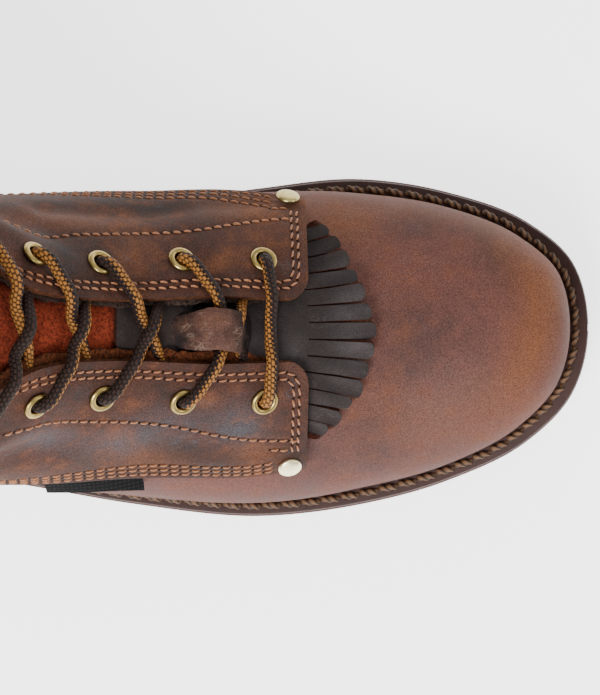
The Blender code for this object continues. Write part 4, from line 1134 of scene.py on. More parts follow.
def flap_sheet(side):
    even = np.linspace(0, 1, FLAP_ROWS)
    share_up = even - ROW_CROWDING * np.sin(2 * np.pi * even) / (2 * np.pi)
    front = flap_front(side, share_up)
    corner = collar_corner(side)
    edge_u, _, along = throat_edge(side)
    crowded = np.linspace(0, 1, FLAP_COLUMNS) ** COLUMN_CROWDING
    spread = np.interp(crowded * along[-1], along, (edge_u - edge_u[0]) / (edge_u[-1] - edge_u[0]))
    back = HEEL_U - side * FLAP_FROM_HEEL
    columns = [front + (corner - front) * share for share in spread]
    columns += [np.full_like(front, corner + (back - corner) * share)
                for share in np.linspace(0, 1, FLAP_BACK_COLUMNS)[1:]]
    u = np.column_stack(columns)
    bottom, top = seam_bottom(u), flap_top(u)
    v = bottom + (top - bottom) * share_up[:, None]
    base = last_point(u, v)
    distance = nearest_distance(base.reshape(-1, 3), ROWS[side]).reshape(u.shape)
    pressed = -STITCH_SINK * np.exp(-(distance / SINK_WIDTH) ** 2)
    points = lifted(u, v, flap_lift(base) + FLAP_WALL + pressed + creased(base))
    return points if side > 0 else points[:, ::-1]


def carve(made, shape):
    """Take a closed shape out of a piece and keep the result as its mesh."""
    mesh = bpy.data.meshes.new("cutter")
    shape.to_mesh(mesh)
    shape.free()
    cutter = bpy.data.objects.new("cutter", mesh)
    bpy.context.scene.collection.objects.link(cutter)
    cutting = made.modifiers.new("carved", "BOOLEAN")
    cutting.object = cutter
    graph = bpy.context.evaluated_depsgraph_get()
    made.data = bpy.data.meshes.new_from_object(made.evaluated_get(graph))
    made.modifiers.clear()
    bpy.data.objects.remove(cutter)


def cut_holes(made, places, radius):
    holes = bmesh.new()
    for spot in places:
        bmesh.ops.create_cone(holes, cap_ends=True, segments=20, radius1=radius, radius2=radius,
                              depth=HOLE_DEPTH, matrix=spot)
    carve(made, holes)


for side, word in SIDES.items():
    flap = piece(f"lace_flap_{word}", grid_shape(flap_sheet(side)), [FLAP_LEATHER, LINING, RAW_EDGE],
                 [f"flap_{word}"])
    paint_patches(flap)
    wall(flap, FLAP_WALL, back=1, edge=2, rounding=0.0006)
    cut_holes(flap, EYELETS[side], EYELET_HOLE_RADIUS + HOLE_CLEAR)

# %% [markdown]
# ## Sewing thread
#
# The rows are sewn with a bonded tan thread, polyester with a thin resin coat, so it is satin and a little
# fuzzy at its edges. Its filaments are far too fine to see and are drawn as soft streaks of 0.7 mm. A dark
# spot at each end of a stitch is painted shade in the needle's hole.

# %% Thread finishes
TAN_THREAD, add, shader, place = new_finish("tan_bonded_thread")
fibre = add("TexNoise", {"Vector": place, "Scale": per_mm(0.7), "Detail": 3.0})
tint = add("Mix", {0: fibre, 6: colour("#522713"), 7: colour("#B67646")}, data_type="RGBA")
bump = add("Bump", {"Height": fibre, "Strength": 0.5, "Distance": 0.0002})
fill_sockets(shader, {"Base Color": tint, "Normal": bump, "Roughness": 0.6, "Sheen Weight": 0.2})
HOLE_SHADE = fibrous("needle_hole_shade", "#160C08", "#2C1A12", 0.8, 0.0001)
print("thread finishes:", TAN_THREAD.name, HOLE_SHADE.name)

# %% [markdown]
# ## Sewing
#
# One stitch is a small round-ended lozenge, a squashed sphere whose ends are pulled down into the leather.
# An Array modifier on a curve could repeat it; here one small mesh is added again and again to a bmesh, each
# time moved to its place, so that all the stitches of a flap end up as one piece.


# %% Copies of a small shape joined into one mesh
STITCH_LENGTH, STITCH_WIDTH, STITCH_HEIGHT = 0.0031, 0.00068, 0.0009
STITCH_DIP = 0.55
STITCH_SLANT = 11
STITCH_SEAT = 0.00005
NEEDLE_RADIUS = 0.00050
NEEDLE_SEAT = 0.00018


def joined_copies(base, frames):
    """A bmesh with one copy of the base shape for each placement."""
    pattern = bpy.data.meshes.new("pattern")
    base.to_mesh(pattern)
    base.free()
    made = bmesh.new()
    for spot in frames:
        before = len(made.verts)
        made.from_mesh(pattern)
        made.verts.ensure_lookup_table()
        bmesh.ops.transform(made, matrix=spot, verts=made.verts[before:])
    bpy.data.meshes.remove(pattern)
    return made


def row_frames(row, pitch, lift, slant):
    stops = even_points(row, pitch)
    middles = (stops[1:] + stops[:-1]) / 2
    spots, normals = on_last(middles)
    heights = flap_lift(spots) + creased(spots) + lift
    turns = Matrix.Rotation(math.radians(slant), 4, "Z")
    return [frame_at(spot + normal * height, normal, step) @ turns
            for spot, normal, height, step in zip(spots, normals, heights, stops[1:] - stops[:-1])]


def one_stitch():
    shape = bmesh.new()
    lengthwise = Matrix.Rotation(math.pi / 2, 4, "Y")
    bmesh.ops.create_uvsphere(shape, u_segments=8, v_segments=6, radius=0.5, matrix=lengthwise)
    bmesh.ops.scale(shape, vec=(STITCH_LENGTH, STITCH_WIDTH, STITCH_HEIGHT), verts=shape.verts)
    for vert in shape.verts:
        vert.co.z -= STITCH_DIP * STITCH_HEIGHT * (2 * vert.co.x / STITCH_LENGTH) ** 2
    return shape


for side, word in SIDES.items():
    frames, dots = [], []
    for row in ROWS[side]:
        frames += row_frames(row, STITCH_PITCH, FLAP_WALL - STITCH_SEAT, -STITCH_SLANT * side)
        dots += row_frames(row, STITCH_PITCH, FLAP_WALL - NEEDLE_SEAT, 0)
    piece(f"flap_stitches_{word}", joined_copies(one_stitch(), frames), [TAN_THREAD])
    # Dark discs at the ends of the stitches are painted shade in the needle holes.
    to_end = Matrix.Translation((STITCH_PITCH / 2, 0, 0))
    disc = bmesh.new()
    bmesh.ops.create_circle(disc, cap_ends=True, segments=8, radius=NEEDLE_RADIUS)
    holes = joined_copies(disc, [spot @ to_end for spot in dots])
    piece(f"painted_hole_shade_{word}", holes, [HOLE_SHADE])

# %% [markdown]
# ## Lining along the throat
#
# A thin lining is sewn under each flap and cut a little wider than the leather, so a narrow ragged edge of it
# peeks out along the throat, rust on the outer side and grey-brown on the inner. It is a strip laid on the
# last on both sides of the flap's edge, and seeded random steps fray it the same way in each run.


# %% Lining strips
LINING_SHOWS = {1: 0.0012, -1: 0.0028}
LINING_TAPER = 0.0150
LINING_UNDER = 0.0070
LINING_TUCK = 0.0008
LINING_DROP = (0.0001, 0.0006)
LINING_WALL = 0.0008
FRAY_WAVE, FRAY_NICK = 0.0006, 0.00012
FRAY_OVER = 7


def lining_strip(side):
    u, v, _ = throat_edge(side)
    edge, out = last_point(u, v)[::2], last_normal(u, v)[::2]
    inward = inward_from(edge, out, side)
    rng = np.random.default_rng(7 + side)
    waves = rng.normal(0, FRAY_WAVE, len(edge) + FRAY_OVER - 1)
    ragged = np.convolve(waves, np.ones(FRAY_OVER) / FRAY_OVER, "valid") + rng.normal(0, FRAY_NICK, len(edge))
    taper = smooth_step(0, LINING_TAPER, chord_lengths(edge))
    shows = (LINING_SHOWS[side] + LINING_TUCK) * taper - LINING_TUCK
    rows = []
    for share in np.linspace(0, 1, 8):
        reach = LINING_UNDER + (ragged - shows - LINING_UNDER) * share
        spots, normals = on_last(edge + inward * reach[:, None])
        lift = flap_lift(spots) - LINING_DROP[0] - LINING_DROP[1] * share
        rows.append(spots + normals * lift[:, None])
    points = np.array(rows)
    return points if side > 0 else points[:, ::-1]


for side, word in SIDES.items():
    strip = piece(f"throat_lining_{word}", grid_shape(lining_strip(side)), [THROAT_LINING[side]])
    wall(strip, LINING_WALL, rounding=0.0003)

# %% [markdown]
# ## Sole layers
#
# Welt, midsole, outsole and heel are flat layers that follow one outline. Each is a grid that goes once round
# the layer's section at many places from toe to heel; the tiny openings left at both tips are then filled.

# %% Layers of the sole
OUTLINE_SAMPLES = 4000
FLAT_END = 1.5e-5
GROOVE_ACROSS = 0.16
SLOPE_STEP = 0.004


def welt_bottom(x):
    return sole_top(x) - WELT_THICKNESS


def midsole_bottom(x):
    return welt_bottom(x) - MIDSOLE_THICKNESS


def outsole_bottom(x):
    return np.maximum(midsole_bottom(x) - OUTSOLE_THICKNESS, 0)


def sole_ring(inset, height, front_x=None, pairs=150):
    """Places across the sole in pairs from toe to heel: the inner edge and the outer edge."""
    loop = np.linspace(0, EDGE_LENGTH, OUTLINE_SAMPLES, endpoint=False)
    plan = edge_point(loop, np.full_like(loop, inset))[0]
    plan = np.roll(plan, -np.argmax(plan[:, 0]), axis=0)
    back = np.argmin(plan[:, 0])
    front = plan[0, 0] - FLAT_END if front_x is None else front_x
    rear = plan[back, 0] + FLAT_END
    if front_x is None:
        share = (1 - np.cos(np.linspace(0, np.pi, pairs))) / 2
    else:
        share = np.sin(np.linspace(0, np.pi / 2, pairs))
    x = front + (rear - front) * share
    inner = np.interp(-x, -plan[: back + 1, 0], plan[: back + 1, 1])
    outer = np.interp(x, plan[back:, 0], plan[back:, 1])
    return np.stack([x, inner, height(x)], 1), np.stack([x, outer, height(x)], 1)


def close_ends(shape):
    bmesh.ops.holes_fill(shape, edges=[e for e in shape.edges if e.is_boundary])
    bmesh.ops.recalc_face_normals(shape, faces=shape.faces)
    return shape


def sole_layer(rings):
    inner = [ring[0] for ring in rings]
    outer = [ring[1] for ring in rings]
    return close_ends(grid_shape(np.array(inner + outer[::-1] + inner[:1]), True))


def cut_grooves(made, grooves, floor):
    """Cut bars across the sole: x, width, depth and slant of each, set along the floor's curve."""
    bars = bmesh.new()
    for x, width, depth, slant in grooves:
        climb = float(floor(np.array(x + SLOPE_STEP)) - floor(np.array(x - SLOPE_STEP)))
        pitch = math.atan2(climb, 2 * SLOPE_STEP)
        turn = Matrix.Rotation(-pitch, 4, "Y") @ Matrix.Rotation(math.radians(slant), 4, "Z")
        size = Matrix.Diagonal((width, GROOVE_ACROSS, 2 * depth, 1))
        spot = Matrix.Translation((x, 0, float(floor(np.array(x)))))
        bmesh.ops.create_cube(bars, size=1, matrix=spot @ turn @ size)
    carve(made, bars)


print("sole height at the heel in mm:", round(float(sole_top(HEEL_BREAST_X)) * 1000, 1))

# %% [markdown]
# ## Rubber, welt leather and insole board
#
# The outsole is moulded crepe-like rubber with a pebbled side, matt and red-brown. The midsole is a smoother
# rubber of the same colour. The welt is a strip of dark leather whose top is burnished by the stitching
# wheel, so it has a low shine. The insole is a matt board of pressed fibres.


# %% Sole finishes
def pebbled(name, low, high, size, depth, roughness):
    made, add, shader, place = new_finish(name)
    lumps = add("TexVoronoi", {"Vector": place, "Scale": per_mm(size)}, feature="SMOOTH_F1")
    dust = add("TexNoise", {"Vector": place, "Scale": per_mm(9), "Detail": 5.0})
    tint = add("Mix", {0: dust, 6: colour(low), 7: colour(high)}, data_type="RGBA")
    bump = add("Bump", {"Height": lumps, "Strength": 0.7, "Distance": depth})
    fill_sockets(shader, {"Base Color": tint, "Normal": bump, "Roughness": roughness, "IOR": 1.52,
                                "Specular IOR Level": 0.2})
    return made


OUTSOLE_RUBBER = pebbled("pebbled_brown_rubber", "#301F1B", "#4C332C", 1.8, 0.0006, 0.75)
MIDSOLE_RUBBER = pebbled("smooth_brown_rubber", "#4A2A21", "#664035", 0.9, 0.0001, 0.6)
WELT_LEATHER = pebbled("burnished_welt_leather", "#251512", "#402722", 1.3, 0.00008, 0.55)
INSOLE_BOARD = fibrous("insole_board", "#5A4534", "#75604A", 1.2, 0.0002)
print("sole finishes:", [f.name for f in (OUTSOLE_RUBBER, MIDSOLE_RUBBER, WELT_LEATHER, INSOLE_BOARD)])

# %% [markdown]
# ## Stacking the sole
#
# From below: the outsole with a rounded lip, the heel block, the midsole and, inside the boot, the insole.
# Each layer is a list of rings, an inset from the outline and a height. The tread's grooves are bars cut
# through from side to side, because lugs that only bump would not show at the sole's edge.

# %% Outsole, heel, midsole and insole
LIP = 0.0016
MIDSOLE_LIP = 0.0008
INSOLE_INSET = 0.0138
GROOVE_WIDTH, GROOVE_DEPTH = 0.0046, 0.0040
TREAD_FRONT_X, TREAD_PITCH, TREAD_SLANT, TREAD_COUNT = 0.143, 0.0125, -10, 11
HEEL_PITCH, HEEL_COUNT, HEEL_PAIRS = 0.018, 3, 60
SHARP_SOLE = math.radians(40)

outsole = piece("lugged_outsole", sole_layer([
    sole_ring(0.0030, outsole_bottom),
    sole_ring(0.0006, lambda x: outsole_bottom(x) + LIP),
    sole_ring(0.0000, lambda x: outsole_bottom(x) + 2 * LIP),
    sole_ring(0.0000, lambda x: midsole_bottom(x) - 2 * LIP),
    sole_ring(0.0010, lambda x: midsole_bottom(x) - LIP),
    sole_ring(0.0010, midsole_bottom),
]), [OUTSOLE_RUBBER], ["outsole"])
tread = [(TREAD_FRONT_X - i * TREAD_PITCH, GROOVE_WIDTH, GROOVE_DEPTH, TREAD_SLANT)
         for i in range(TREAD_COUNT)]
cut_grooves(outsole, tread, outsole_bottom)
heel = piece("heel_block", sole_layer([
    sole_ring(0.0024, np.zeros_like, HEEL_BREAST_X, HEEL_PAIRS),
    sole_ring(0.0010, lambda x: np.full_like(x, LIP), HEEL_BREAST_X + 0.001, HEEL_PAIRS),
    sole_ring(0.0010, lambda x: outsole_bottom(x) - GAP, HEEL_BREAST_X + 0.004, HEEL_PAIRS),
]), [OUTSOLE_RUBBER], ["heel"])
heel_tread = [(HEEL_BREAST_X - HEEL_PITCH * (i + 1), GROOVE_WIDTH, GROOVE_DEPTH, 0)
              for i in range(HEEL_COUNT)]
cut_grooves(heel, heel_tread, np.zeros_like)
midsole = piece("midsole_layer", sole_layer([
    sole_ring(0.0012, lambda x: midsole_bottom(x) + GAP),
    sole_ring(0.0008, lambda x: midsole_bottom(x) + MIDSOLE_LIP),
    sole_ring(0.0008, lambda x: welt_bottom(x) - MIDSOLE_LIP),
    sole_ring(0.0012, lambda x: welt_bottom(x) - GAP),
]), [MIDSOLE_RUBBER], ["midsole"])
insole = piece("insole_layer", sole_layer([
    sole_ring(INSOLE_INSET, lambda x: welt_bottom(x) + GAP),
    sole_ring(INSOLE_INSET, lambda x: welt_bottom(x) + INSOLE_THICKNESS),
]), [INSOLE_BOARD], ["insole"])
for layer in (outsole, heel, midsole, insole):
    layer.data.set_sharp_from_angle(angle=SHARP_SOLE)

# %% [markdown]
# ## Welt
#
# The welt is the strip that joins the upper to the sole. Its section, given as insets from the outline and
# heights below the sole's top, is carried round the whole outline and its two ends are welded.

# %% Welt strip
WELT_SECTION = [
    (0.0012, -WELT_THICKNESS), (0.0012, -0.0009), (0.0015, -0.0002), (0.0023, 0.0), (0.0060, 0.0),
    (0.0134, 0.0), (0.0134, -WELT_THICKNESS), (0.0012, -WELT_THICKNESS),
]

welt_u = np.linspace(0, EDGE_LENGTH, 501)
welt_rows = []
for inset, below in WELT_SECTION:
    plan = edge_point(welt_u, np.full_like(welt_u, inset))[0]
    welt_rows.append(np.column_stack([plan, sole_top(plan[:, 0]) + below]))
welt_shape = grid_shape(np.array(welt_rows), True)
bmesh.ops.recalc_face_normals(welt_shape, faces=welt_shape.faces)
welt = piece("welt_strip", welt_shape, [WELT_LEATHER], ["welt"])
welt.data.set_sharp_from_angle(angle=SHARP_CORNER)

# %% [markdown]
# ## Waxed welt thread
#
# The welt is sewn with a thick two-ply linen thread, pulled through hot wax: brown, with black grooves where
# the plies touch and fine hairs along each ply. The stripes are drawn on the stitch's own map, so they wind
# with its ridges. Real hairs are finer; they are drawn four to a ply so that they show.

# %% Rope finish
ROPE_PLIES = 2
ROPE_TWIST = 4.0
HAIRS_PER_PLY = 4.0

rope, add, shader, place = new_finish("waxed_welt_thread")
fibre = add("TexNoise", {"Vector": place, "Scale": per_mm(0.5), "Detail": 3.0, "Roughness": 0.7})
parts = add("SeparateXYZ", {0: add("UVMap", uv_map="laid")}).outputs
slope = add("Math", {0: parts[1], 1: ROPE_PLIES * ROPE_TWIST / math.pi}, operation="MULTIPLY")
across_ply = add("Math", {0: parts[0], 1: ROPE_PLIES}, operation="MULTIPLY")
ply = add("Math", {0: across_ply, 1: slope}, operation="SUBTRACT")
groove = add("Math", {0: ply, 1: 0.5}, operation="PINGPONG")
round_ply = add("MapRange", {"Value": groove, 1: 0.50, 2: 0.22, 3: 0.0, 4: 1.0})
thin = add("Math", {0: ply, 1: HAIRS_PER_PLY}, operation="MULTIPLY")
hair = add("Math", {0: fibre, 1: 1.6, 2: thin}, operation="MULTIPLY_ADD")
hairs = add("Math", {0: hair, 1: 0.5}, operation="PINGPONG")
shown = add("MapRange", {"Value": hairs, 1: 0.0, 2: 0.5, 3: 0.25, 4: 1.0})
strands = add("Math", {0: round_ply, 1: shown}, operation="MULTIPLY")
tint = add("Mix", {0: strands, 6: colour("#120A06"), 7: colour("#785231")}, data_type="RGBA")
bump = add("Bump", {"Height": strands, "Strength": 0.5, "Distance": 0.0002})
fill_sockets(shader, {"Base Color": tint, "Normal": bump, "Roughness": 0.65})
print("rope finish:", rope.name)

# %% [markdown]
# ## Welt stitches
#
# The thread lies on the welt's top, close to the upper. Every stitch is a short piece of rope: a capsule with
# two ridges that wind round it, its ends pulled down into the welt. About a hundred copies follow the loop at
# an even pitch.


# %% Rope stitches round the welt
ROPE_PITCH = 0.0067
ROPE_INSET = 0.0042
TOE_ROPE_INSET = 0.0010
TOE_ROPE_X = (0.120, 0.148)
ROPE_FROM_UPPER = 0.0013
ROPE_SEAT = 0.0006
ROPE_SLANT = -7
ROPE_LENGTH, ROPE_RADIUS = 0.0071, 0.00104
PLY_RIDGE = 0.22
ROPE_DIP = 0.9


def rope_stitch(length, radius):
    along = np.linspace(-1, 1, 15)[:, None]
    around = np.linspace(0, 2 * np.pi, 15)[None, :]
    plies = 1 + PLY_RIDGE * np.cos(ROPE_PLIES * (around - ROPE_TWIST * along))
    thick = radius * np.sqrt(np.maximum(1 - np.abs(along) ** 4, 0)) * plies
    x = np.broadcast_to(along * length / 2, thick.shape)
    y = thick * np.cos(around)
    z = thick * np.sin(around) - ROPE_DIP * radius * np.abs(along) ** 3
    shape = grid_shape(np.stack([x, y, z], -1), True)
    bmesh.ops.recalc_face_normals(shape, faces=shape.faces)
    return shape


rope_u = np.linspace(0, EDGE_LENGTH, 3000)
rope_edge = EDGE.at(rope_u)
rope_inset = ROPE_INSET + TOE_ROPE_INSET * smooth_step(*TOE_ROPE_X, rope_edge[:, 0])
rope_plan = edge_point(rope_u, np.minimum(rope_edge[:, 2] - ROPE_FROM_UPPER, rope_inset))[0]
rope_stops = even_points(np.column_stack([rope_plan, sole_top(rope_plan[:, 0]) + ROPE_SEAT]), ROPE_PITCH)
rope_turn = Matrix.Rotation(math.radians(ROPE_SLANT), 4, "Z")
rope_frames = [frame_at((a + b) / 2, (0, 0, 1), b - a) @ rope_turn
               for a, b in zip(rope_stops[:-1], rope_stops[1:])]
piece("welt_rope", joined_copies(rope_stitch(ROPE_LENGTH, ROPE_RADIUS), rope_frames), [rope])

# %% [markdown]
# ## The suede tongue
#
# The tongue is rust suede: split leather with a brushed nap that catches light at a grazing angle, so it has
# a strong sheen and no gloss. It is laid under the throat from side to side and goes on above the collar.

# %% Tongue
SUEDE = fibrous("rust_suede", "#481A11", "#923D27", 0.9, 0.0007)
TONGUE_TOP = 0.0239
TONGUE_BELOW = UPPER_WALL + 0.0009
TONGUE_ALONG = (0.062, 0.250)
TONGUE_STOPS, TONGUE_DEGREES = (0.062, 0.12, 0.18, 0.25), (36, 42, 56, 54)
TONGUE_COLUMNS = 41
TOP_ROUNDING, TOP_NARROWING = 0.45, 0.2

tongue_alongs = np.linspace(*TONGUE_ALONG, 110)
tongue_turns = np.radians(np.interp(tongue_alongs, TONGUE_STOPS, TONGUE_DEGREES))
tongue_shares = np.linspace(-1, 1, TONGUE_COLUMNS)
tongue_rows = [[across_ridge(along, turn * share, -TONGUE_BELOW) for share in tongue_shares]
               for along, turn in zip(tongue_alongs, tongue_turns)]
top_row = np.array(tongue_rows[-1])
rise = top_row[TONGUE_COLUMNS // 2] - np.array(tongue_rows[-2][TONGUE_COLUMNS // 2])
rise *= TONGUE_TOP / np.linalg.norm(rise)
rounded_top = 1 - TOP_ROUNDING * np.abs(tongue_shares) ** 4
for share in np.linspace(0, 1, 14)[1:]:
    row = top_row + rise * (share * rounded_top)[:, None]
    row[:, 1] = AXIS_Y + (row[:, 1] - AXIS_Y) * (1 - TOP_NARROWING * share)
    tongue_rows.append(row)
tongue = piece("suede_tongue", grid_shape(np.array(tongue_rows)), [SUEDE], ["tongue"])
wall(tongue, TONGUE_WALL, rounding=0.0008)

# %% [markdown]
# ## The fringed kiltie
#
# The kiltie is a loose piece of charcoal waxed leather on the tongue. Its front is cut into thirteen strips
# like a fan, and the cuts show rust-coloured fibres, darkened nearly to black as painted shade inside the
# narrow slits. It is one grid with the cells of the slits taken out; every strip gets its own tip length,
# lift and twist, because loose strips never lie alike.

# %% Kiltie finishes and sizes
CHARCOAL = pull_up_leather("charcoal_waxed_leather", "#2A2423", "#0A0808", "#3B2B22", "#484343",
                           patch=0.45, scratches=0.40, grain=0.28)
# Rust fibres of the cuts, darkened nearly to black as painted shade inside the narrow slits.
RUST_CUT_AND_SHADE = fibrous("rust_cut_edge_and_shade", "#150A07", "#3E1D12", 0.8, 0.0002)
FRINGE_CENTRE_X = 0.0360
FRINGE_INNER_RADIUS = 0.0250
FRINGE_OUTER_RADIUS = 0.0455
FRINGE_HALF_ANGLE = math.radians(48.5)
FRINGE_SLIT = 0.0005
KILTIE_BACK_X = 0.0040
KILTIE_NECK_HALF_WIDTH = 0.0150
FRINGE_SPREAD = 0.42
TIP_ROUND = 0.0022
TIP_TAPER = 0.93
Strip = namedtuple("Strip", "longer lift twist")
STRIPS = [
    Strip(-3.0, 1.4, 0.4), Strip(-2.0, 1.6, -0.4), Strip(-1.6, 0.8, 0.8), Strip(-0.5, 1.8, -0.7),
    Strip(-0.4, 1.0, -0.7), Strip(-0.1, 1.9, 0.9), Strip(0.6, 0.7, 0.6), Strip(-0.8, 1.5, -0.8),
    Strip(-1.9, 2.1, 0.7), Strip(-2.3, 1.0, -0.6), Strip(-2.3, 1.5, 0.7), Strip(-1.9, 1.0, 0.4),
    Strip(-2.2, 1.2, -0.3),
]
STRIP_PITCH = 2 * FRINGE_HALF_ANGLE / len(STRIPS)
STRIP_TURNS = [-FRINGE_HALF_ANGLE + (index + 0.5) * STRIP_PITCH for index in range(len(STRIPS))]
print("fringe strips:", len(STRIPS), "each in degrees:", round(math.degrees(STRIP_PITCH), 2))

# %% [markdown]
# ## Wear, painted sheen and painted shade on the kiltie
#
# The kiltie has a pale painted sheen just in front of the keeper and near-black painted shade in the deep
# gaps beside it, under the flaps' edges. It is rubbed pale further back, where the flaps and the lace pass,
# and a grey band crosses the fringe near its tips. Each strip gets a soft streak near its tip, grey where it
# stands up and dark where it lies low.

# %% Kiltie patches
STREAK_RADIUS, STREAK_LONG, STREAK_WIDE, STREAK_STRENGTH = 0.041, 0.0080, 0.0022, 0.25
STANDS_UP = 1.3
KILTIE_PATCHES = [
    # Painted shade, near black, in the deep gaps beside the keeper under the flaps' edges.
    Patch("dark", 0.0330, 0.0136, 0.0100, 0.0030, 0, 1.0),
    Patch("dark", 0.0330, -0.0032, 0.0100, 0.0030, 0, 1.0),
    # These two grey ovals are a painted sheen where light glances off the kiltie in front of the keeper.
    Patch("grey", 0.0560, -0.0010, 0.0060, 0.0040, 70, 0.35),
    Patch("grey", 0.0470, 0.0020, 0.0030, 0.0030, 0, 0.20),
    Patch("grey", 0.0760, 0.0060, 0.0080, 0.0240, 0, 0.40),
    Patch("tan", 0.0150, 0.0040, 0.0060, 0.0040, 30, 0.35),
]
# Each strip gets a soft streak near its tip: grey where it stands up, dark where it lies low.
for strip, turn in zip(STRIPS, STRIP_TURNS):
    shade = "grey" if strip.lift > STANDS_UP else "dark"
    x = FRINGE_CENTRE_X + STREAK_RADIUS * math.cos(turn)
    y = AXIS_Y + STREAK_RADIUS * math.sin(turn)
    KILTIE_PATCHES.append(Patch(shade, x, y, STREAK_LONG, STREAK_WIDE, math.degrees(turn), STREAK_STRENGTH))
print("kiltie patches:", len(KILTIE_PATCHES))

# %% [markdown]
# ## Cutting the fringe
#
# The sheet runs straight along the tongue and then fans out. Seven columns make a strip, the column of faces
# between two strips is a slit and is deleted, and the tips are rounded by shortening the outer columns.


# %% Kiltie
KILTIE_ON_TONGUE = -(0.0008 + KILTIE_WALL)
KILTIE_ON_VAMP = 0.0011
KILTIE_CLIMB_X = (0.026, 0.043)
STRIP_COLUMNS = 7
NECK_ROWS, STRIP_ROWS = 16, 20
TIP_FULLNESS = 0.98
MM = 1e-3


def kiltie_lift(x):
    return KILTIE_ON_TONGUE + (KILTIE_ON_VAMP - KILTIE_ON_TONGUE) * smooth_step(*KILTIE_CLIMB_X, x)


def kiltie_points():
    across = np.linspace(-1, 1, STRIP_COLUMNS)
    half_strip = STRIP_PITCH / 2 - FRINGE_SLIT / 2 / FRINGE_OUTER_RADIUS
    rounded = TIP_ROUND * (1 - np.sqrt(1 - np.abs(TIP_FULLNESS * across) ** 3))
    turns, tip_turns, tips, lifts = [], [], [], []
    for strip, middle in zip(STRIPS, STRIP_TURNS):
        turns.append(middle + half_strip * across)
        tip_turns.append(middle + half_strip * TIP_TAPER * across)
        tips.append(FRINGE_OUTER_RADIUS + strip.longer * MM - rounded)
        lifts.append((strip.lift + strip.twist * across) * MM)
    turns, tip_turns, tips, lifts = (np.concatenate(a)[::-1] for a in (turns, tip_turns, tips, lifts))
    tip_x = FRINGE_CENTRE_X + tips * np.cos(tip_turns)
    tip_y = tips * np.sin(tip_turns)
    root_x = FRINGE_CENTRE_X + FRINGE_INNER_RADIUS * np.cos(turns)
    reach = FRINGE_OUTER_RADIUS * np.cos(turns) - FRINGE_INNER_RADIUS * np.cos(turns)
    root_y = FRINGE_OUTER_RADIUS * np.sin(turns) - reach * np.tan(FRINGE_SPREAD * turns)
    rows = []
    for share in np.linspace(0, 1, NECK_ROWS + 1)[:-1]:
        x = KILTIE_BACK_X + (root_x - KILTIE_BACK_X) * share
        y = KILTIE_NECK_HALF_WIDTH * turns / FRINGE_HALF_ANGLE * (1 - share**3) + root_y * share**3
        rows.append([laid(a, AXIS_Y + b, kiltie_lift(a) + KILTIE_WALL) for a, b in zip(x, y)])
    for share in np.linspace(0, 1, STRIP_ROWS):
        x, y = root_x + (tip_x - root_x) * share, root_y + (tip_y - root_y) * share
        rows.append([laid(a, AXIS_Y + b, kiltie_lift(a) + KILTIE_WALL + c * share**2)
                     for a, b, c in zip(x, y, lifts)])
    return np.array(rows)


kiltie_shape = grid_shape(kiltie_points())
kiltie_shape.faces.ensure_lookup_table()
face_columns = STRIP_COLUMNS * len(STRIPS) - 1
slits = [kiltie_shape.faces[row * face_columns + column]
         for row in range(NECK_ROWS, NECK_ROWS + STRIP_ROWS - 1)
         for column in range(STRIP_COLUMNS - 1, face_columns, STRIP_COLUMNS)]
bmesh.ops.delete(kiltie_shape, geom=slits, context="FACES")
kiltie = piece("fringed_kiltie", kiltie_shape, [CHARCOAL, CHARCOAL, RUST_CUT_AND_SHADE],
               ["kiltie"])
paint_patches(kiltie, KILTIE_PATCHES)
wall(kiltie, KILTIE_WALL, back=1, edge=2, rounding=0.0003)

# %% [markdown]
# ## The lace keeper
#
# A band of the kiltie is raised so that the lace can pass below it. Its wax is rubbed off, so it is redder
# and full of pale scratches. An arched grid with rounded corners is enough.

# %% Keeper
KEEPER_LEATHER = pull_up_leather("rubbed_keeper_leather", "#523931", "#1D1817", "#684532", "#8E7A6B",
                                 patch=0.9, scratches=0.9, grain=0.38)
KEEPER_PATCHES = [Patch("dark", 0.0215, 0.0052, 0.0055, 0.0100, 0, 0.80),
                  Patch("dark", 0.0440, 0.0052, 0.0045, 0.0100, 0, 0.90)]
KEEPER_BACK, KEEPER_FRONT, KEEPER_HALF, KEEPER_RAMP = 0.0190, 0.0440, 0.0050, 0.0100
KEEPER_RISE = 0.0080 + 0.0019
KEEPER_SEAT, KEEPER_DROOP, KEEPER_WALL = 0.0003, 0.0010, 0.0015
FOLD_DEPTH, FOLD_WIDTH, FOLD_RIDGE_X, FOLD_DIP_X = 0.0006, 0.0012, 0.0372, 0.0348
WAVE_DEPTH, WAVES_PER_METRE, WAVE_SKEW = 0.0004, 420, 2

keeper_x = np.linspace(KEEPER_BACK, KEEPER_FRONT, 60)
keeper_arch = smooth_step(KEEPER_BACK, KEEPER_BACK + KEEPER_RAMP, keeper_x)
keeper_arch = keeper_arch * smooth_step(KEEPER_FRONT, KEEPER_FRONT - KEEPER_RAMP, keeper_x)
fold_ridge, fold_dip = (FOLD_DEPTH * np.exp(-((keeper_x - middle) / FOLD_WIDTH) ** 2)
                        for middle in (FOLD_RIDGE_X, FOLD_DIP_X))
keeper_lifts = kiltie_lift(keeper_x) + KILTIE_WALL - KEEPER_SEAT + KEEPER_RISE * keeper_arch
keeper_lifts = keeper_lifts + fold_ridge - fold_dip
keeper_rows = []
for share in np.linspace(-1, 1, 21):
    lifts = keeper_lifts - KEEPER_DROOP * abs(share) ** 3
    wavy = KEEPER_HALF + WAVE_DEPTH * np.sin(keeper_x * WAVES_PER_METRE + WAVE_SKEW * share)
    keeper_rows.append([laid(x, AXIS_Y + half * share, lift) for x, half, lift in zip(keeper_x, wavy, lifts)])
keeper = piece("keeper_band", grid_shape(np.array(keeper_rows)), [KEEPER_LEATHER, KEEPER_LEATHER, RUST_CUT_AND_SHADE],
               ["lace_keeper"])
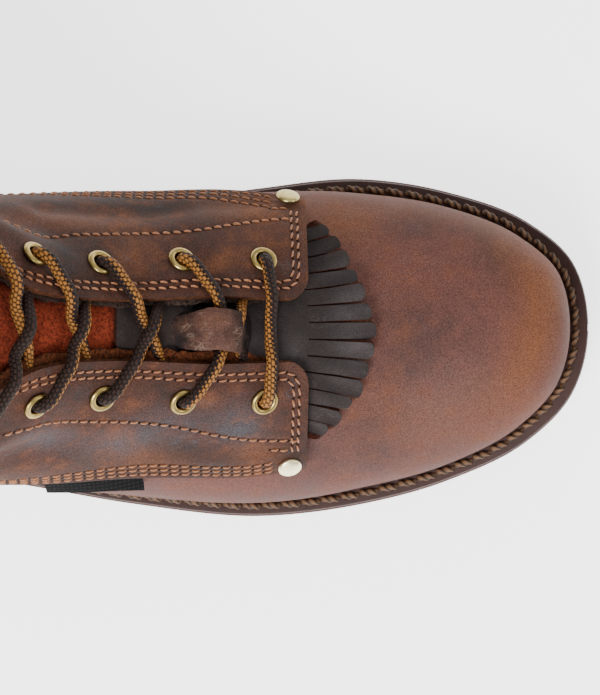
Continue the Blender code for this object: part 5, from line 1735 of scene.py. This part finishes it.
paint_patches(keeper, KEEPER_PATCHES)
wall(keeper, KEEPER_WALL, back=1, edge=2, rounding=0.0005)

# %% [markdown]
# ## Woven tag
#
# A plain black woven tag hangs from the outer flap's lower seam. It is polyester tape, matt and nearly black.
# Two sets of fine waves at right angles give the weave, and its threads are drawn 0.7 mm apart, about twice
# the real spacing, so that they show. A thin strip laid beside the seam carries it.

# %% Tag
WEAVE_MM = 0.7
HALF_WAVES_PER_SCALE = 6.3
TAG_X = (-0.0220, 0.0090)
TAG_FROM_SEAM, TAG_SHARE = 0.005, 0.055
TAG_SEAT, TAG_STANDS_OFF = 0.0019, 0.0022
TAG_WALL = 0.0009

weave, add, shader, place = new_finish("black_woven_tape")
warp, weft = (add("TexWave", {"Vector": place, "Scale": per_mm(WEAVE_MM) / HALF_WAVES_PER_SCALE},
                       bands_direction=axis).outputs["Fac"] for axis in "XZ")
threads = add("Math", {0: warp, 1: weft}, operation="MULTIPLY")
tint = add("Mix", {0: threads, 6: colour("#060606"), 7: colour("#161618")}, data_type="RGBA")
bump = add("Bump", {"Height": threads, "Strength": 0.6, "Distance": 0.0002})
fill_sockets(shader, {"Base Color": tint, "Normal": bump, "Roughness": 0.85, "Specular IOR Level": 0.1})

tag_samples = np.linspace(HEEL_U, EDGE_LENGTH, 3000)
tag_seam_x = last_point(tag_samples, seam_bottom(tag_samples))[:, 0]
tag_u = np.interp(np.linspace(*TAG_X, 40), tag_seam_x, tag_samples)
tag_down = np.linspace(1, 0, 12)[:, None]
tag_v = seam_bottom(tag_u)[None, :] - TAG_FROM_SEAM - TAG_SHARE * tag_down
tag_points = lifted(np.broadcast_to(tag_u, tag_v.shape), tag_v, TAG_SEAT + TAG_STANDS_OFF * tag_down)
tag = piece("woven_side_tag", grid_shape(tag_points), [weave], ["side_tag"])
wall(tag, TAG_WALL, rounding=0.0002)

# %% [markdown]
# ## Backstay
#
# A strip covers the seam where both sides of the shaft meet at the back. It is pressed a tenth of a
# millimetre into the flaps, so that no light comes through. The photo doesn't show it, so it is a plain
# strip with one row of stitches along each edge.

# %% Backstay strip
BACKSTAY_WALL = 0.0016
STAY_SEAT = FLAP_WALL - 0.0001 + BACKSTAY_WALL
STAY_HALF_WIDTH, STAY_ROW = 0.0085, 0.0064
STAY_FROM, STAY_TO = 0.012, 0.985
STAY_ROW_FROM, STAY_ROW_TO = 0.012, 0.975

stay_u = HEEL_U + np.linspace(-STAY_HALF_WIDTH, STAY_HALF_WIDTH, 21)
stay_bottom = seam_bottom(stay_u)
stay_v = stay_bottom + (1 - stay_bottom) * np.linspace(STAY_FROM, STAY_TO, 90)[:, None]
stay_grid_u = np.broadcast_to(stay_u, stay_v.shape)
stay_lift = FLAP_GAP + STAY_SEAT + creased(last_point(stay_grid_u, stay_v))
stay = piece("backstay_strip", grid_shape(lifted(stay_grid_u, stay_v, stay_lift)),
             [FLAP_LEATHER, LINING, RAW_EDGE], ["backstay"])
paint_patches(stay)
wall(stay, BACKSTAY_WALL, back=1, edge=2, rounding=0.0004)
stay_frames = []
for beside in (-STAY_ROW, STAY_ROW):
    row_v = np.linspace(seam_bottom(HEEL_U) + STAY_ROW_FROM, STAY_ROW_TO, 200)
    stay_frames += row_frames(last_point(HEEL_U + beside, row_v), STITCH_PITCH, STAY_SEAT, 0)
piece("backstay_stitches", joined_copies(one_stitch(), stay_frames), [TAN_THREAD])

# %% [markdown]
# ## Brass
#
# Eyelets are stamped from brass and tumbled until the recesses turn dark, so their finish is antique: satin,
# with a brown tarnish. The rivets are plainer; the outer one is painted near white, a painted highlight where
# the light glances off its dome. Tarnish noise mixes two tones and dulls the metal where it is dark.


# %% Antique brass
def brass(name, low, high):
    made, add, shader, place = new_finish(name)
    tarnish = add("TexNoise", {"Vector": place, "Scale": per_mm(2.2), "Detail": 4.0})
    tint = add("Mix", {0: tarnish, 6: colour(low), 7: colour(high)}, data_type="RGBA")
    dull = add("MapRange", {"Value": tarnish, 1: 0.3, 2: 0.7, 3: 0.42, 4: 0.28})
    fill_sockets(shader, {"Base Color": tint, "Roughness": dull, "Metallic": 1.0})
    return made


BRASS = brass("antique_brass", "#7E6A38", "#B09A62")
RIVET_BRASS = {1: brass("antique_rivet_brass", "#8A7A4A", "#B4A470"),
               # The outer rivet's near-white colour is a painted highlight.
               -1: brass("highlight_painted_rivet_brass", "#E8D8A4", "#FDF2CE")}
print("metals:", BRASS.name, [finish.name for finish in RIVET_BRASS.values()])

# %% [markdown]
# ## Eyelets and rivets
#
# Each is a turned shape, so a profile is spun round its axis: for an eyelet a half ring with a short barrel
# below, for a rivet's head a low dome. The spun mesh is merged, faced outwards and moved to its place.


# %% Eyelets and rivets
BARREL_BOTTOM, BARREL_TOP, BARREL_WALL = -0.0020, -0.0008, 0.0005
RING_SEAT, RING_HEIGHT, RING_FULLNESS = 0.0002, 0.0012, 0.8
DOME_SEAT, DOME_HEIGHT, DOME_FULLNESS = 0.0004, 0.0013, 0.5
UNDERSIDE = 0.0001
DOME_TUCK = 0.97
RIVET_SHARE, RIVET_FROM_FRONT, RIVET_FROM_SEAM, RIVET_SEAT = 0.10, 0.0058, 0.045, 0.0003


def spun(profile, steps, place):
    shape = bmesh.new()
    verts = [shape.verts.new((r, 0, z)) for r, z in profile]
    edges = [shape.edges.new(pair) for pair in zip(verts, verts[1:])]
    bmesh.ops.spin(shape, geom=verts + edges, axis=(0, 0, 1), cent=(0, 0, 0), angle=2 * math.pi, steps=steps,
                   use_merge=True)
    bmesh.ops.remove_doubles(shape, verts=shape.verts, dist=1e-6)
    bmesh.ops.recalc_face_normals(shape, faces=shape.faces)
    shape.transform(place)
    return shape


ring_middle = (EYELET_OUTER_RADIUS + EYELET_HOLE_RADIUS) / 2
ring_half = (EYELET_OUTER_RADIUS - EYELET_HOLE_RADIUS) / 2
barrel_outer = EYELET_HOLE_RADIUS + BARREL_WALL
eyelet_profile = [(EYELET_HOLE_RADIUS, BARREL_BOTTOM), (EYELET_HOLE_RADIUS, BARREL_TOP)]
for a in np.linspace(0, np.pi, 10):
    ring_height = RING_SEAT + RING_HEIGHT * math.sin(a) ** RING_FULLNESS
    eyelet_profile.append((ring_middle - ring_half * math.cos(a), ring_height))
eyelet_profile += [(barrel_outer, UNDERSIDE), (barrel_outer, BARREL_BOTTOM)] + eyelet_profile[:1]
rivet_profile = [(RIVET_RADIUS * math.sin(a), DOME_SEAT + DOME_HEIGHT * math.cos(a) ** DOME_FULLNESS)
                 for a in np.linspace(0, np.pi / 2, 9)]
rivet_profile += [(RIVET_RADIUS * DOME_TUCK, UNDERSIDE), (0.0, UNDERSIDE)]

for side, word in SIDES.items():
    for index, spot in enumerate(EYELETS[side]):
        piece(f"brass_eyelet_{word}_{index + 1}", spun(eyelet_profile, 32, spot), [BRASS],
              [f"eyelet_{word}_{index + 1}"])
    rivet_u = flap_front(side, np.array([RIVET_SHARE])) + side * RIVET_FROM_FRONT
    rivet_v = seam_bottom(rivet_u) + RIVET_FROM_SEAM
    rivet_base = last_point(rivet_u, rivet_v)[0]
    rivet_out = last_normal(rivet_u, rivet_v)[0]
    rivet_lift = float(flap_lift(rivet_base)) + FLAP_WALL + RIVET_SEAT
    spot = frame_at(rivet_base + rivet_out * rivet_lift, rivet_out, (1, 0, 0.2))
    piece(f"brass_rivet_{word}", spun(rivet_profile, 40, spot), [RIVET_BRASS[side]],
          [f"rivet_{word}"])

# %% [markdown]
# ## How high the lace lies
#
# On its way the lace lies on a flap, in the throat on the kiltie or the tongue, or under a flap. Its height
# over the last is worked out from these three and blended where it passes a flap's edge. Where it is the
# upper strand of a crossing it humps over the lower one.


# %% Lace height
LACE_RADIUS = LACE_DIAMETER / 2
LACE_ON_FLAP, LACE_NEAR_EYELET, LACE_IN_GAP, LACE_UNDER_FLAP = 0.0002, 0.0015, 0.0004, 0.0003
GAP_FROM, GAP_TO = 0.0060, 0.0005
HUMP, HUMP_WIDTH = 0.0034, 0.0050
KILTIE_REACH = 0.004
RIDGE_FROM = 0.03
NEAREST_WEIGHT = 0.2


def ridge_place(point):
    """Distance along the ridge and turn about it of a point beside the ridge."""
    along = np.linspace(RIDGE_FROM, RIDGE_LENGTH, 1500)
    ridge = RIDGE_CURVE.at(along)
    step = np.gradient(ridge, axis=0)
    step /= np.linalg.norm(step, axis=1, keepdims=True)
    off = np.stack([point[0] - ridge[:, 0], point[2] - ridge[:, 1]], 1)
    i = np.argmin(np.abs((off * step).sum(1)) + NEAREST_WEIGHT * np.linalg.norm(off, axis=1))
    up = np.array([step[i, 1], -step[i, 0]])
    return along[i], math.atan2(point[1] - AXIS_Y, float(off[i] @ up) + RIDGE_TO_MIDDLE)


def lace_height(base, along, start_side, near_eyelet, both_on_top, over):
    gap = float(THROAT_CURVE.at(min(max(along, THROAT[0].along), THROAT[-1].along))[0])
    across = (base.y - AXIS_Y) * start_side
    flap_under = float(flap_lift(np.array(base)))
    on_flap = flap_under + FLAP_WALL + LACE_ON_FLAP + LACE_NEAR_EYELET * near_eyelet + LACE_RADIUS
    in_gap = kiltie_lift(base.x) + KILTIE_WALL if base.x > KILTIE_BACK_X - KILTIE_REACH else -UPPER_WALL
    in_gap = float(in_gap) + LACE_IN_GAP + LACE_RADIUS
    below_flap = flap_under - LACE_UNDER_FLAP - LACE_RADIUS
    rise, dive = (float(smooth_step(gap - GAP_FROM, gap + GAP_TO, way)) for way in (across, -across))
    far_height = on_flap if both_on_top else below_flap
    hump = (HUMP if over else 0.0) * math.exp(-(across / HUMP_WIDTH) ** 2)
    return in_gap + (on_flap - in_gap) * rise + (far_height - in_gap) * dive + hump


print("lace radius in mm:", LACE_RADIUS * 1000)

# %% [markdown]
# ## Route of the lace
#
# One lace fills all the holes. Below the bar it comes up through the first eyelets; from then on each run
# goes from the top of one eyelet over its flap's edge, across the throat, and under the other flap to the
# hole below. The strand that starts on the outer side lies on top of each crossing. Both ends stop just
# under the top eyelets.

# %% Lace route
RUN_SHARES = (0.09, 0.91)
NEAR_SHARE = 0.22
HOLE_TOP, HOLE_BOTTOM, HOLE_SIDE = 0.0016, -0.0012, 0.0005
UNDER_HOLE, UNDER_SIDE = FLAP_WALL + 0.0016, 0.0008
HIDDEN_END = 0.006
LACE_STEP = 0.0009
LACE_SAMPLES = 12000


def at_hole(spot, towards, height, step):
    up = spot.to_3x3().col[2]
    aside = towards - spot.translation
    aside = (aside - up * aside.dot(up)).normalized()
    return spot.translation + up * height + aside * step


def lace_run(start_side, start, end, both_on_top=False, over=False):
    """Hand-over points of one run, from the top of one eyelet to the other eyelet."""
    first, first_turn = ridge_place(start.translation)
    last, last_turn = ridge_place(end.translation)
    run = []
    for share in np.linspace(*RUN_SHARES, 17):
        along, turn = first + (last - first) * share, first_turn + (last_turn - first_turn) * share
        base = across_ridge(along, turn, 0.0)
        near_end = 1 - (1 - share) / NEAR_SHARE if both_on_top else 0.0
        near = max(0.0, 1 - share / NEAR_SHARE, near_end)
        run.append(across_ridge(along, turn, lace_height(base, along, start_side, near, both_on_top, over)))
    opening = [at_hole(start, run[0], HOLE_BOTTOM, 0.0), at_hole(start, run[0], HOLE_TOP, HOLE_SIDE)]
    closing = [at_hole(end, run[-1], -UNDER_HOLE, UNDER_SIDE)]
    if both_on_top:
        closing = [at_hole(end, run[-1], HOLE_TOP, HOLE_SIDE), at_hole(end, run[-1], HOLE_BOTTOM, 0.0)]
    return opening + run + closing


def strand(first_side, order):
    """Runs of one strand, one list for each, changing sides from eyelet to eyelet."""
    runs, side = [], first_side
    for index in order:
        runs.append(lace_run(side, EYELETS[side][index + 1], EYELETS[-side][index], over=side < 0))
        side = -side
    return runs


def hidden_end(side):
    top = EYELETS[side][-1]
    return [top.translation - top.to_3x3().col[2] * HIDDEN_END]


def whole_lace():
    steps = range(EYELET_COUNT - 1)
    route = hidden_end(1) + sum(strand(1, steps[::-1]), [])
    route += lace_run(-1, EYELETS[-1][0], EYELETS[1][0], both_on_top=True)
    route += sum((run[::-1] for run in strand(-1, steps)), []) + hidden_end(-1)
    points = np.array(route)
    curve = SmoothTable(chord_lengths(points), points)
    return even_points(curve.at(np.linspace(0, curve.knots[-1], LACE_SAMPLES)), LACE_STEP)


LACE = whole_lace()
LACE_LENGTH = chord_lengths(LACE)[-1]
print("lace in the boot, mm:", round(LACE_LENGTH * 1000))

# %% [markdown]
# ## The braided cord
#
# The lace is a round nylon braid with half of its carriers gold and half dark brown, so one side of it is
# gold and the other dark, with a toothed line between. It is matt, with dark gaps between its picks.
# The braid is drawn on the tube's own map, which runs once round and once along, as bricks of ten columns.
# Picks are drawn 1.7 mm long, a little longer than real ones, so that the braid shows.


# %% Lace finish
PICK_LENGTH = 0.0017
CARRIERS = 10.0
PICK_LEAN = 0.12
TOOTH_REACH = 1.3


def braided_cord(name, length, gold, dark):
    made, add, shader, _ = new_finish(name)
    parts = add("SeparateXYZ", {0: add("UVMap", uv_map="laid")}).outputs
    picks = add("Math", {0: parts[1], 1: length / PICK_LENGTH}, operation="MULTIPLY")
    carriers = add("Math", {0: parts[0], 1: CARRIERS}, operation="MULTIPLY")
    column = add("Math", {0: carriers}, operation="FLOOR")
    inside = add("Math", {0: carriers}, operation="FRACT")
    lean = add("Math", {0: inside, 1: PICK_LEAN, 2: picks}, operation="MULTIPLY_ADD")
    staggered = add("Math", {0: column, 1: 0.5, 2: lean}, operation="MULTIPLY_ADD")
    wave = add("Math", {0: staggered, 1: 0.5}, operation="PINGPONG")
    round_pick = add("MapRange", {"Value": wave, 1: 0.0, 2: 0.32, 3: 0.0, 4: 1.0},
                          interpolation_type="SMOOTHSTEP")
    between = add("Math", {0: carriers, 1: 0.5}, operation="PINGPONG")
    parted = add("MapRange", {"Value": between, 1: 0.0, 2: 0.22, 3: 0.10, 4: 1.0})
    plump = add("Math", {0: round_pick, 1: parted}, operation="MULTIPLY")
    angle = add("Math", {0: parts[0], 1: 2 * math.pi}, operation="MULTIPLY")
    facing = add("Math", {0: angle}, operation="COSINE")
    tooth = add("Math", {0: wave, 1: TOOTH_REACH, 2: facing}, operation="MULTIPLY_ADD")
    is_gold = add("MapRange", {"Value": tooth, 1: 0.60, 2: 0.70})
    tint = add("Mix", {0: is_gold, 6: colour(dark), 7: colour(gold)}, data_type="RGBA")
    shade = add("MapRange", {"Value": plump, 3: 0.12, 4: 1.15})
    toned = add("HueSaturation", {"Value": shade, "Color": tint})
    bump = add("Bump", {"Height": plump, "Strength": 0.8, "Distance": 0.0004})
    fill_sockets(shader, {"Base Color": toned, "Normal": bump, "Roughness": 0.7, "Specular IOR Level": 0.2})
    return made


LACE_BRAID = braided_cord("gold_and_brown_braid", LACE_LENGTH, "#8A5A26", "#2A1A14")
print("lace finish:", LACE_BRAID.name)

# %% [markdown]
# ## The lace as a tube
#
# The tube is a grid swept along the route. Its rings are set against the direction of the toe and rolled a
# little from run to run, as a lace lies in a boot, so the photo's gold and dark runs follow each other.


# %% Lace tube
GOLD_TURNS = (0.52, 0.05, 0.52, 0.05, 0.52, 0.04, 0.52, 0.66,
              0.32, 0.10, -0.15, 0.02, -0.45, 0.00, -0.45, 0.00)
LACE_SIDES = 16


def lace_rolls(path):
    """Turn of the gold side along the lace: one for each eyelet, held as far as the middle of its run."""
    top = EYELET_COUNT - 1
    visits = [(1 if i % 2 else -1, i) for i in range(top, 0, -1)] + [(-1, 0), (1, 0)]
    visits += [(-1 if i % 2 else 1, i) for i in range(1, top + 1)]
    stops = chord_lengths(path)
    holes = [EYELETS[side][i].translation for side, i in visits]
    passed = [stops[np.argmin(np.linalg.norm(path - hole, axis=1))] for hole in holes]
    anchors = list(zip(passed, GOLD_TURNS))
    for i in range(top):
        anchors.append(((passed[i] + passed[i + 1]) / 2, GOLD_TURNS[i]))
        anchors.append(((passed[-i - 1] + passed[-i - 2]) / 2, GOLD_TURNS[-i - 1]))
    places, turns = np.array(sorted(anchors)).T
    return np.interp(stops, places, turns) * 2 * np.pi


def swept_tube(path, radius, sides):
    ahead = np.gradient(path, axis=0)
    ahead /= np.linalg.norm(ahead, axis=1, keepdims=True)
    ridge = RIDGE_CURVE.at(np.linspace(0, RIDGE_LENGTH, 300))
    ridge_step = np.gradient(ridge, axis=0)
    nearest = [np.argmin(np.hypot(*(ridge - spot[[0, 2]]).T)) for spot in path]
    towards_toe = -np.insert(ridge_step[nearest], 1, 0.0, axis=1)
    across = towards_toe - ahead * (towards_toe * ahead).sum(1, keepdims=True)
    across /= np.linalg.norm(across, axis=1, keepdims=True)
    beside = np.cross(ahead, across)
    turn = np.linspace(0, 2 * np.pi, sides + 1)[None, :, None] + lace_rolls(path)[:, None, None]
    rings = path[:, None] + radius * (np.cos(turn) * across[:, None] + np.sin(turn) * beside[:, None])
    return close_ends(grid_shape(rings, True))


lace_nodes = ["lace_bar"] + [f"lace_cross_{i + 1}" for i in range(EYELET_COUNT - 1)]
piece("boot_lace", swept_tube(LACE, LACE_RADIUS, LACE_SIDES), [LACE_BRAID], lace_nodes)
